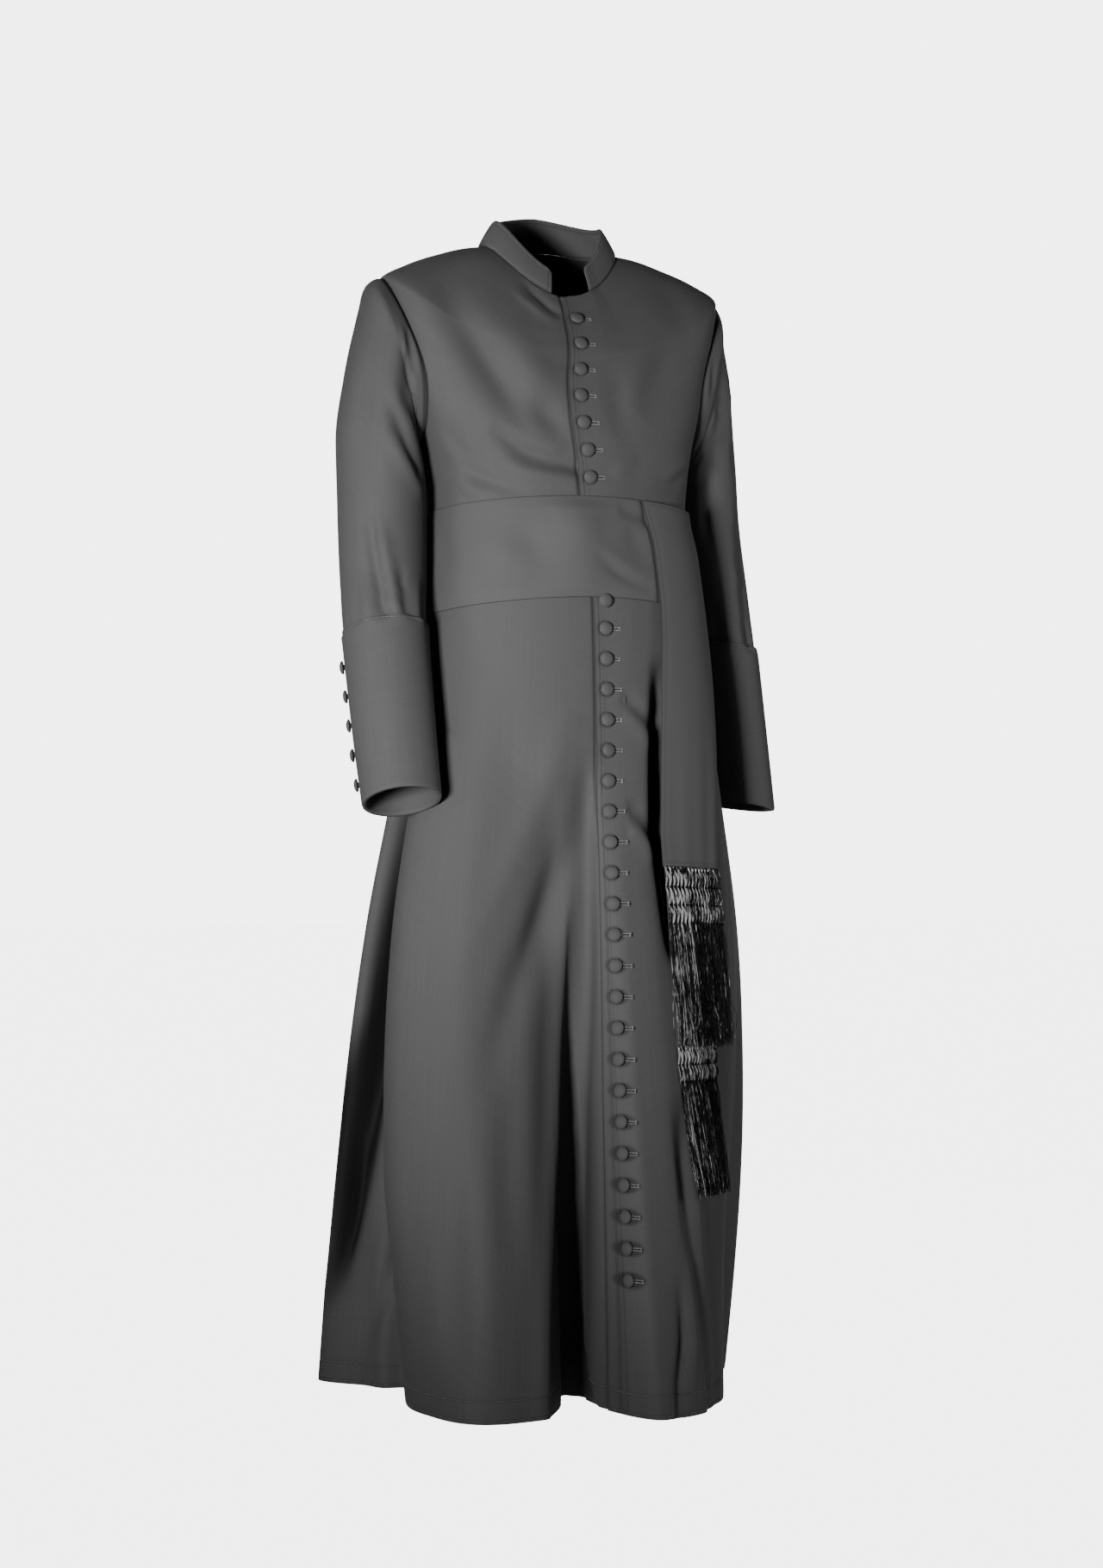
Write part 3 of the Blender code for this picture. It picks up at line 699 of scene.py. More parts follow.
@dataclass(frozen=True)
class WovenWool:
    """Worsted cloth: a fine twill with faint streaks along its warp and a soft nap, with shade painted into it.

    Attributes:
        name: The finish's name.
        tone: Its lightness.
        pitch: Metres between twill ribs.
        rib: How strongly the ribs stand out.
        streaks: How much the warp threads differ.
        steep: The twill's slope; 0 is a plain weave.
        sheen: The nap's light at grazing angles.
        gloss: The smooth threads' own shine.
    """

    name: str
    tone: float = 0.088
    pitch: float = 0.0011
    rib: float = 0.25
    streaks: float = 0.42
    steep: float = 0.8
    sheen: float = 0.04
    gloss: float = 0.26

    def material(self) -> bpy.types.Material:
        """Builds the finish."""
        dye = Dye(self.name)
        place = dye.node("ShaderNodeUVMap", {"uv_map": "weave"})
        across = dye.node("ShaderNodeSeparateXYZ", {}, place)
        along = Ply(dye, across.socket.node.outputs["Y"])
        turn = 2 * math.pi / self.pitch
        waver = dye.noise(place, 60.0) * 2.0
        twill = ((across + along * self.steep) * turn + waver).wave()
        threads = (along * (turn * 1.35)).wave()
        slubs = dye.noise(place, (210.0, 5.0, 1.0), 3.0, 0.65) - 0.5
        nap = dye.noise(place, (2600.0, 1500.0, 1.0), 2.0, 0.7)
        shade = (
            (dye.noise(place, (900.0, 9.0, 1.0), 3.0, 0.6) - 0.5) * (self.streaks * 0.8)
            + (dye.noise(place, (11.0, 1000.0, 1.0), 2.0, 0.6) - 0.5) * (self.streaks * 0.8)
            + slubs * (self.streaks * 0.25)
            + (dye.noise(dye.object_place(), 7.0, 3.0, 0.55) - 0.5) * 0.16
            + (nap - 0.5) * 0.30
            + (twill - 0.5) * 0.05
        ) + 0.5
        colour = dye.blend(shade, grey(self.tone * 0.62), grey(self.tone * 1.38))
        beside, down = self.button_place(dye)
        # Painted shade along stitching, seams and edges, in the recess and the valley and round each button; then wear
        # lightens the edges.
        for share, lightness in (
            (dye.mark("groove") * 0.6, 0.25),
            (dye.mark("deep"), 0.05),
            (self.button_rings(beside, down) * 0.7, 0.2),
            (dye.mark("worn") * 0.10, 1.7),
        ):
            colour = dye.blend(share, colour, grey(self.tone * lightness))
        low = dye.bump(dye.noise(dye.object_place(), 26.0), 0.12, 0.004)
        drawn = dye.bump(self.puckers(beside, down), 1.0, 1.0, Normal=low)
        fine = twill * self.rib + threads * (self.rib * 0.3) + nap * 0.25
        return dye.dressed(
            Base_Color=colour,
            Roughness=0.74 + (nap - 0.5) * 0.18 + slubs * 0.12,
            Sheen_Weight=self.sheen,
            Sheen_Roughness=0.45,
            Specular_IOR_Level=self.gloss,
            Normal=dye.bump(fine, 0.55, 0.00016, Normal=drawn),
        )

    def button_place(self, dye: Dye) -> tuple[Ply, Ply]:
        """The metres to the wearer's left of the nearest button, and down from it.

        The piece's mark "closure" is 1 more than the metres to the wearer's left of the buttons' line, and its mark
        "count" passes a whole number at each button. A piece without the marks is far from any button.

        Args:
            dye: The material's nodes.

        Returns:
            Both distances.
        """
        count = dye.mark("count") + 0.5
        return dye.mark("closure") - 1.0, (count.maths("FRACT", count) - 0.5) * BUTTON_PITCH

    def button_rings(self, beside: Ply, down: Ply) -> Ply:
        """1 where shade is painted, in a ring round each button and fainter in a line beside them; 0 away from them."""
        ring = ((beside / 0.0092) ** 2.0 + (down / 0.0091) ** 2.0) ** 4.0
        return ring.fading() + (((beside + 0.0036) / 0.0006) ** 2.0).fading() * 0.35

    def puckers(self, beside: Ply, down: Ply) -> Ply:
        """The cloth's height, in metres, where each buttonhole is drawn in by its button."""
        dents = (
            (-0.0008, 0.001, 0.0105, 0.0003, 0.0098),
            (-0.0005, 0.0110, 0.0060, 0.0, 0.0024),
            (0.0003, 0.0120, 0.0065, -0.0050, 0.0032),
            (0.0003, 0.0125, 0.0070, 0.0052, 0.0034),
        )
        blots = [
            (((beside - u) / wide) ** 2.0 + ((down - v) / tall) ** 2.0).fading() * height
            for height, u, wide, v, tall in dents
        ]
        return blots[0] + blots[1] + blots[2] + blots[3]


@dataclass(frozen=True)
class TwistedThread:
    """Shiny dark twisted thread; its highlights are painted into its colour, thread by thread and in patches."""

    name: str
    dark: float
    light: float
    share: float
    roughness: float
    ply_pitch: float = 0.0011

    def material(self) -> bpy.types.Material:
        """Builds the finish."""
        dye = Dye(self.name)
        strand, place = dye.mark("strand"), dye.object_place()
        twist = (dye.mark("along") * (2 * math.pi / self.ply_pitch) + strand * 40.0).wave()
        # Painted highlights: glints and lighter patches set in the thread's colour.
        painted_glint = dye.noise(place, (420.0, 420.0, 120.0), 2.0, 0.6)
        painted_highlight_patch = dye.noise(place, (70.0, 70.0, 24.0), 2.0, 0.6)
        lit = (strand * 0.42 + painted_glint * 0.5 + painted_highlight_patch * 0.5).between(1.0 - self.share, 1.12 - self.share)
        colour = dye.blend(lit, grey(self.dark), grey(self.light))
        return dye.dressed(
            # with painted shade in the twist's grooves
            Base_Color=dye.blend(twist * 0.35, colour, grey(self.dark)),
            Roughness=self.roughness + (painted_glint - 0.5) * 0.2,
            Specular_IOR_Level=0.22,
            Normal=dye.bump(twist, 0.4, 0.0003),
        )


@dataclass(frozen=True)
class SewingThread:
    """Matte sewing thread."""

    name: str
    tone: float

    def material(self) -> bpy.types.Material:
        """Builds the finish."""
        dye = Dye(self.name)
        place = dye.object_place()
        twist = dye.noise(place, 1500.0)
        shade = dye.noise(place, 30.0) * 0.5 + twist * 0.5
        return dye.dressed(
            Base_Color=dye.blend(shade, grey(self.tone * 0.6), grey(self.tone * 1.4)),
            Roughness=0.5 + twist * 0.25,
            Normal=dye.bump(twist, 0.3, 0.0002),
        )


@dataclass(frozen=True)
class StudioFloor:
    """Pale seamless paper, evenly lit as far as the eye can see, with a faint shadow where something stands on it."""

    name: str = "studio_paper"
    tone: float = 0.80
    lit: float = 5.3
    shadow_share: float = 0.10

    def material(self) -> bpy.types.Material:
        """Builds the finish."""
        dye = Dye(self.name)
        grain = dye.noise(dye.object_place(), 40.0, 3.0)
        made = dye.dressed(
            Base_Color=dye.blend(grain, grey(self.tone * 0.99), grey(self.tone * 1.01)), Roughness=0.85 + grain * 0.1
        )
        glow = dye.node("ShaderNodeEmission", {}, Color=grey(1.0), Strength=self.lit)
        seen = dye.node("ShaderNodeLightPath", {}) * (1 - self.shadow_share)
        surface = dye.node("ShaderNodeMixShader", {}, seen, Ply(dye, dye.shader.outputs[0]), glow)
        dye.feed(dye.tree.nodes["Material Output"].inputs["Surface"], surface)
        return made


ARMHOLE_MIDDLE = (ARMPIT_DROP + TIP_DROP) / 2
ARMHOLE_HALF = (ARMPIT_DROP - TIP_DROP) / 2
# How many degrees the armhole takes from the front and from the back at its widest.
ARMHOLE_FRONT = 30.0
ARMHOLE_BACK = 26.0


def armhole_share(drops: Grid) -> Grid:
    """0 where there is no armhole and 1 at its widest: an ellipse from the shoulder tip to the armpit."""
    return np.sqrt(np.clip(1 - ((drops - ARMHOLE_MIDDLE) / ARMHOLE_HALF) ** 2, 0, 1))


@dataclass(frozen=True)
class Rows:
    """The drops at which the panels have their rows of points."""

    shoulder: int = 30
    armhole: int = 44
    pitch_torso: float = 0.0042
    pitch_skirt: float = 0.0052
    hem: tuple[float, ...] = (0.0, 0.0009, 0.0022, 0.0038, 0.0055, 0.010, 0.017, 0.0225, 0.0242, 0.025, 0.0258, 0.0275)

    def drops(self) -> Grid:
        """Every row's drop, from the neckline to the hem."""
        shoulder = TIP_DROP * np.linspace(0, 1, self.shoulder) ** 1.6
        armhole = ARMHOLE_MIDDLE - ARMHOLE_HALF * np.cos(np.linspace(0, math.pi, self.armhole + 1))
        torso = np.linspace(ARMPIT_DROP, BAND_BOTTOM, round((BAND_BOTTOM - ARMPIT_DROP) / self.pitch_torso))
        above_hem = HEM_DROP - self.hem[-1] - 0.004
        skirt = np.linspace(BAND_BOTTOM, above_hem, round((above_hem - BAND_BOTTOM) / self.pitch_skirt))
        return np.concatenate([shoulder, armhole[1:], torso[1:], skirt[1:], HEM_DROP - np.array(self.hem)[::-1]])


ROW_DROPS = Rows().drops()
TIP_ROW = nearest(ROW_DROPS, TIP_DROP)
ARMPIT_ROW = nearest(ROW_DROPS, ARMPIT_DROP)

# Columns of the fronts: distances in from the free edge, closer together where it is rounded, where its stitching
# draws it in and, on the right front, where the left one's edge lies on it.
LEFT_EDGE = np.array([0, 0.0008, 0.002, 0.0038, 0.0054, 0.0062, 0.007, 0.0086, *np.linspace(0.011, 0.038, 11)])
RIGHT_EDGE = np.array([0, 0.001, 0.0025, 0.005, 0.009, 0.015, 0.022, 0.029, *np.linspace(0.033, 0.043, 9), 0.046, 0.05])
BUTTON_PITCH = 0.0333
BUTTON_RADIUS = 0.0074
# How far down the front, or down the cuff, each button of a row lies.
CHEST = np.linspace(0.0953, 0.2835, 7)
SKIRT = np.linspace(0.458, 1.193, 22)
CUFF = np.linspace(0.038, 0.184, 5)
STITCH_INSET = 0.0062
HEM_INSETS = (0.0038, 0.025)
CUFF_STITCH = 0.0036
COLLAR_STITCH = 0.0042
FRONT_CORNER = 0.013
SPANS = 84
SEAM_SHARES = np.array([0.978, 0.987, 0.9935, 0.9975, 1.0])


def groove(distance: Grid, at: float) -> Grid:
    """1 along a line of stitching and 0 away from it: where the stitching dips and its shade is painted."""
    return bell(distance - at, 0.0007)


def round_corner(a: Grid, b: Grid, radius: float) -> tuple[Grid, Grid]:
    """Draws a sheet's square corner in to a round one.

    Args:
        a: Each point's distance from one edge.
        b: Its distance from the edge that meets that one.
        radius: The corner's radius.

    Returns:
        The two distances, moved.
    """
    s, t = 1 - a / radius, 1 - b / radius
    inside = (s > 0) & (t > 0)
    s, t = np.clip(s, 0, 1), np.clip(t, 0, 1)
    a_moved, b_moved = (radius * (1 - near * np.sqrt(1 - far**2 / 2)) for near, far in ((s, t), (t, s)))
    return np.where(inside, a_moved, a), np.where(inside, b_moved, b)


FRONT_RIGHT_CREASES = creases(
    # the chest's hollow, from the collar down
    (-12, 24, ((-56, 0.02), (-38, 0.05), (-30, 0.11), (-22, 0.18), (-12, 0.24)), (0.3, 0.0)),
    (4.5, 22, ((-22, 0.02), (-17, 0.08), (-12, 0.15))),
    # drawn from the collar's foot to the front edge
    (-4.2, 5.5, ((-32, 0.0015), (-20, 0.003), (-9, 0.007)), (0.3, 0.6)),
    (2.2, 6, ((-34, 0.006), (-22, 0.009), (-12, 0.013)), (0.2, 0.4)),
    # down beside the buttons
    (-4, 16, ((-15, 0.11), (-12.5, 0.19), (-8, 0.262)), (0.0, 0.3)),
    (2.6, 14, ((-24, 0.12), (-20, 0.2), (-14, 0.24))),
    # pulled across towards the sash
    (-7.5, 10, ((-38, 0.222), (-26, 0.258), (-6, 0.276)), (0.0, 0.8)),
    (4, 8.5, ((-40, 0.262), (-26, 0.284), (-9, 0.292)), (0.0, 0.6)),
    (-4.2, 8.5, ((-58, 0.27), (-47, 0.288), (-32, 0.306)), (0.0, 0.5)),
    (3, 8, ((-62, 0.284), (-52, 0.299), (-44, 0.312))),
    (-2.8, 10, ((-60, 0.215), (-56, 0.245), (-50, 0.262))),
    # the long soft fold across the thigh
    (-12, 22, ((-4, 0.59), (-9.5, 0.69), (-22, 0.8), (-30, 0.89), (-36, 1.01)), (0.1, 0.0)),
    (4, 18, ((-12, 0.54), (-21, 0.64), (-35, 0.76), (-43, 0.86))),
    (4.5, 22, ((-44, 0.62), (-44, 0.8), (-42, 1.0))),
    # lower skirt
    (-5, 20, ((-30, 0.93), (-29, 1.06), (-28, 1.2))),
    (-5, 16, ((-42, 1.06), (-40, 1.2), (-38, 1.3))),
    (5, 20, ((-34, 1.05), (-32, 1.18), (-31, 1.3))),
    (-8, 10, ((-9, 1.23), (-6, 1.29), (-3.5, HEM_DROP)), (0.0, 1.0)),
    (5, 7, ((-12, 1.27), (-10, 1.31), (-8, HEM_DROP)), (0.0, 1.0)),
)

FRONT_LEFT_CREASES = creases(
    (-8, 22, ((52, 0.02), (36, 0.052), (28, 0.11), (22, 0.18)), (0.3, 0.0)),
    (4, 20, ((24, 0.03), (19, 0.09), (15, 0.16))),
    (-3, 15, ((12, 0.06), (13, 0.14), (12, 0.23))),
    (-3.8, 10, ((56, 0.262), (44, 0.284), (28, 0.3)), (0.0, 0.3)),
    (3, 10, ((60, 0.245), (48, 0.264), (34, 0.28))),
    (2.6, 10, ((22, 0.258), (14, 0.272), (9, 0.29))),
    # below the sash, towards the fall
    (-4.5, 9, ((6.5, 0.545), (11, 0.553), (18, 0.572)), (0.0, 0.7)),
    (3, 9, ((7, 0.565), (12, 0.575), (17, 0.595)), (0.0, 0.5)),
    (-5, 11, ((7.5, 0.676), (11, 0.674), (15.5, 0.694)), (0.0, 0.8)),
    (4.5, 10, ((7, 0.7), (11, 0.698), (15, 0.722)), (0.0, 0.5)),
    (-33, 11.5, ((24.4, 0.5), (23.0, 0.6), (22.0, 0.68), (21.6, 0.76), (20.8, 0.85))),
    (-30, 17, ((30, 0.49), (28.5, 0.62), (27.5, 0.74), (26, 0.88))),
    (-10, 13, ((19, 0.98), (19, 1.1), (20, 1.2), (22, HEM_DROP)), (0.0, 0.6)),
    # lower skirt
    (-6, 11, ((17, 1.0), (17, 1.09), (16.5, 1.18))),
    (-11, 9, ((13.5, 1.18), (13.0, 1.25), (10.5, 1.31), (9.5, HEM_DROP)), (0.0, 0.7)),
    (6, 8, ((15.5, 1.18), (15.0, 1.26), (12.5, 1.32)), (0.0, 0.3)),
    (5, 20, ((52, 0.56), (50, 0.8), (48, 1.05))),
    (-6, 20, ((30, 0.94), (28, 1.12), (27, HEM_DROP)), (0.0, 1.0)),
)

# the valley beside the buttons and the ridge that runs down to it: both fronts share them
CLOSURE_CREASES = creases(
    (-10, 12.5, ((-5.5, 0.64), (-6.5, 0.74), (-7.5, 0.85), (-8.5, 0.98)), (0.3, 0.2)),
    (-18, 20.5, ((-7.5, 0.8), (-8.8, 0.95), (-10, 1.1), (-11, 1.25), (-11.5, HEM_DROP)), (0.1, 1.0)),
    (11, 15, ((-13.5, 0.66), (-13.5, 0.74), (-15.5, 0.86), (-18, 1.0), (-19.5, 1.15), (-20, HEM_DROP)), (0.2, 0.7)),
)

BACK_CREASES = creases(
    (-4, 22, ((128, 0.02), (140, 0.07), (148, 0.14)), (0.3, 0.0)),
    (-4.5, 12, ((108, 0.262), (124, 0.286), (146, 0.3)), (0.0, 0.2)),
    (3.5, 11, ((104, 0.284), (120, 0.302), (140, 0.312))),
    (-4, 13, ((116, 0.215), (126, 0.236), (138, 0.246))),
    (-4.5, 14, ((152, 0.258), (164, 0.276), (178, 0.282)), (0.0, 0.4)),
    (-6, 18, ((124, 0.62), (126, 0.8), (126, 1.0))),
    (6, 18, ((142, 0.64), (141, 0.86), (140, 1.1))),
    (-5, 16, ((158, 0.7), (157, 0.9), (156, 1.15))),
    (-7, 13, ((108, 1.0), (106, 1.13), (107, 1.26))),
    (5, 14, ((122, 1.08), (121, 1.2), (120, 1.31))),
)

# the deep recess behind the right front's fold, with a pleat coming out of it lower down
RECESS_CREASES = creases(
    (-44, 21, ((-103, 0.56), (-105, 0.76), (-105.5, 0.9), (-107, 1.05), (-109, 1.24))),
    (16, 19, ((-101, 1.13), (-100.5, 1.24), (-100, HEM_DROP)), (0.0, 1.0)),
    (-10, 10, ((-97, 1.14), (-100, 1.22), (-103.5, 1.3))),
    (-6, 9, ((-110, 1.02), (-108.5, 1.14), (-111, 1.26))),
)

# how far the light is kept out of the recess, as a crease of height one
RECESS_SHADES = (
    Crease(1.0, 0.0230, ((-104, 0.600), (-105.5, 0.800), (-107, 1.000), (-109, 1.150), (-113, 1.290)), (0.35, 0.1)),
    Crease(0.4, 0.0260, ((-115, 0.900), (-114, 0.980), (-113, 1.060), (-113, 1.180)), (0.0, 0.0)),
)

# and out of the foot of the valley beside the buttons
VALLEY_SHADES = (Crease(0.55, 0.0170, ((-5.5, 0.960), (-5.0, 1.080), (-4.5, 1.220), (-4.5, HEM_DROP)), (0.0, 1.0)),)


def mirrored(lines: tuple[Crease, ...], uneven: float = 0.25) -> tuple[Crease, ...]:
    """The same creases on the wearer's other side, each a little moved and of another depth."""
    made = []
    for i, crease in enumerate(lines):
        drift = math.sin(2.4 * i + 1.0)
        path = tuple((-turn - 2.2 * drift, min(drop * (1 + 0.02 * drift), HEM_DROP)) for turn, drop in crease.path)
        made.append(Crease(crease.height * (1 + uneven * drift), crease.width, path, crease.ends))
    return tuple(made)


@dataclass(frozen=True)
class Panel:
    """One of the body's four panels, cut in one from shoulder to hem."""

    side: Side
    front: bool
    creases: tuple[Crease, ...]

    def cloth(self) -> Cloth:
        """The panel's shell."""
        left, right = self.side is Side.LEFT, self.side is Side.RIGHT
        turns, drops, edge = self.front_grid() if self.front else self.back_grid()
        points, normals = FIGURE.skin(drops, turns)
        along = run_along(points)
        seam = along[:, -1:] - along
        if not self.front:
            seam = np.minimum(along, seam)
        hem = np.broadcast_to((HEM_DROP - ROW_DROPS)[:, None], turns.shape)
        # The overlap stays flat, so that its layers are parallel.
        moved = relief(points, self.creases) * smooth_step(0.0, 0.030, edge) * smooth_step(-0.001, 0.010, seam)
        if self.front:
            moved += relief(points, CLOSURE_CREASES)
        stitched = groove(edge, STITCH_INSET) * (self.front and left)
        for inset in HEM_INSETS:
            stitched = np.maximum(stitched, groove(hem, inset))
        pressed = smooth_step(BAND_TOP + 0.004, BAND_TOP + 0.016, ROW_DROPS)
        pressed *= smooth_step(BAND_BOTTOM - 0.004, BAND_BOTTOM - 0.016, ROW_DROPS)
        moved -= 0.0009 * bell(seam, 0.0018) + 0.0005 * stitched + 0.0028 * pressed[:, None]
        moved -= 0.0002 * bell(edge, 0.0010) + 0.0005 * bell(hem, 0.0016)
        # Painted shade along the stitching and the seams, and a painted dark line at the free edge.
        lines = np.clip(stitched + bell(seam, 0.0013) + bell(edge, 0.0007) * 1.4, 0, 1.4)
        marks = {"worn": bell(hem, 0.0012)}
        if self.front and left:
            moved += self.stand_off(turns)
            marks["closure"] = 1.0 + FIGURE.closure_offset(ROW_DROPS[:, None], turns)
            marks["count"] = self.button_count()[:, None]
        elif self.front:
            # Where the left front's edge lies on the right one, a small dip and a painted shadow line.
            covered = edge - EDGE_OVERLAP - UNDERLAP
            moved -= 0.0016 * bell(covered - 0.0002, 0.0017)
            lines = np.clip(lines + bell(covered, 0.0014) * 1.3, 0, 1)
            # Painted shade in the foot of the valley beside the buttons.
            marks["deep"] = relief(points, VALLEY_SHADES)
        elif right:
            # Painted shade in the recess behind the right front's fold.
            marks["deep"] = smooth_step(0.10, 0.60, relief(points, RECESS_SHADES))
        points = points + normals * moved[..., None]
        for rim, inner in ((0, 1), (-1, -2)):
            points[:, rim] += unit(points[:, inner] - points[:, rim]) * SEAM_SHOWN / 2
        return Cloth.over(points, normals, CLOTH, groove=lines, **marks)

    def front_grid(self) -> tuple[Grid, Grid, Grid]:
        """A front's turns, drops and distances from its free edge."""
        left = self.side is Side.LEFT
        steps = LEFT_EDGE if left else RIGHT_EDGE
        square = np.broadcast_to(steps, (len(ROW_DROPS), len(steps)))
        drops = np.broadcast_to(ROW_DROPS[:, None], square.shape)
        meridian = run_along(FIGURE.place(ROW_DROPS, np.full(len(ROW_DROPS), 3.0))[None])[0]
        radius = FRONT_CORNER if left else FRONT_CORNER * 0.35
        away, below = round_corner(square, np.interp(drops, ROW_DROPS, meridian), radius)
        drops = np.interp(below, meridian, ROW_DROPS)
        offset = away - EDGE_OVERLAP if left else UNDERLAP - away
        turns = FIGURE.closure_turn(drops, offset)
        shares = np.array([*np.linspace(0, SEAM_SHARES[0], SPANS + 1)[1:-1], *SEAM_SHARES, 1.0])
        start = turns[:, -1:]
        wide = start + (self.side.value * self.side_seam() - start) * shares
        wide_drops = np.broadcast_to(ROW_DROPS[:, None], wide.shape)
        edge = np.concatenate([square, np.full(wide.shape, 1.0)], axis=1)
        return np.concatenate([turns, wide], axis=1), np.concatenate([drops, wide_drops], axis=1), edge

    def back_grid(self) -> tuple[Grid, Grid, Grid]:
        """A back's turns, from its side seam to the middle of the back, with its drops and no free edge near."""
        start = (90 + ARMHOLE_BACK * armhole_share(ROW_DROPS))[:, None]
        even = np.linspace(1 - SEAM_SHARES[0], SEAM_SHARES[0], SPANS + 2)[1:-1]
        shares = np.concatenate([1 - SEAM_SHARES[::-1], even, SEAM_SHARES])
        turns = self.side.value * (start + (180 - start) * shares)
        return turns, np.broadcast_to(ROW_DROPS[:, None], turns.shape), np.full(turns.shape, 1.0)

    def side_seam(self) -> Grid:
        """The turn of a front's side seam and armhole at each row, on the wearer's left."""
        return (90 - ARMHOLE_FRONT * armhole_share(ROW_DROPS))[:, None]

    def stand_off(self, turns: Grid) -> Grid:
        """How far the left front stands off, where it lies on the right one."""
        start = FIGURE.closure_turn(ROW_DROPS, UNDERLAP)[:, None]
        share = (turns - start) / (self.side_seam() - start) * 12
        return LAYER * (1 - smooth_step(0.0, 2.0, share))

    def button_count(self) -> Grid:
        """A number for each row that passes a whole one at each button."""
        line = FIGURE.place(ROW_DROPS, FIGURE.closure_turn(ROW_DROPS, 0.0))
        depths = [CHEST[0] - 0.016, *CHEST, CHEST[-1] + 0.016, SKIRT[0] - 0.018, *SKIRT, SKIRT[-1] + 0.018]
        first, last = len(CHEST), len(CHEST) + len(SKIRT)
        counts = [0.5, *range(1, first + 1), first + 0.5, first + 0.5, *range(first + 1, last + 1), last + 0.5]
        return np.interp(-line[:, 2], depths, counts)


@dataclass(frozen=True)
class SleeveRing:
    """A ring of a sleeve: its middle, half sizes, the pitch of its plane and the forearm's swing, in degrees."""

    drop: float
    out: float
    back: float
    across: float
    deep: float
    pitch: float
    swing: float


SLEEVES = {
    Side.RIGHT: table(
        SleeveRing,
        (0.150, 0.2030, 0.000, 0.0975, 0.066, 14, 0),
        (0.179, 0.2085, -0.002, 0.0805, 0.069, 25, 0),
        (0.211, 0.2110, -0.004, 0.0675, 0.069, 40, 0),
        (0.262, 0.2140, -0.006, 0.0580, 0.065, 62, 0),
        (0.322, 0.2130, -0.008, 0.0520, 0.060, 80, 2),
        (0.390, 0.2140, -0.016, 0.0500, 0.057, 88, 8),
        (0.460, 0.2195, -0.043, 0.0470, 0.052, 90, 17),
        (0.560, 0.2215, -0.080, 0.0450, 0.048, 90, 21),
        (0.657, 0.2215, -0.115, 0.0430, 0.045, 90, 21),
    ),
    Side.LEFT: table(
        SleeveRing,
        (0.150, 0.1890, 0.006, 0.0960, 0.062, 10, 0),
        (0.178, 0.1960, 0.014, 0.0790, 0.062, 18, 0),
        (0.209, 0.2020, 0.026, 0.0640, 0.060, 30, 0),
        (0.262, 0.2060, 0.042, 0.0520, 0.056, 58, 0),
        (0.322, 0.2090, 0.044, 0.0490, 0.054, 80, -2),
        (0.390, 0.2190, 0.042, 0.0480, 0.053, 92, -2),
        (0.460, 0.2295, 0.038, 0.0465, 0.052, 97, 0),
        (0.560, 0.2430, 0.034, 0.0445, 0.048, 98, 2),
        (0.657, 0.2550, 0.030, 0.0430, 0.045, 98, 2),
    ),
}

CUFF_STARTS_AT_RING = 7
CUFF_FLARE = 0.0012
RING_ROWS = (16, 9, 8, 12, 14, 14, 15, 22, 22)
CUFF_EDGE = np.array([0.0, 0.0008, 0.002, CUFF_STITCH, 0.0052])


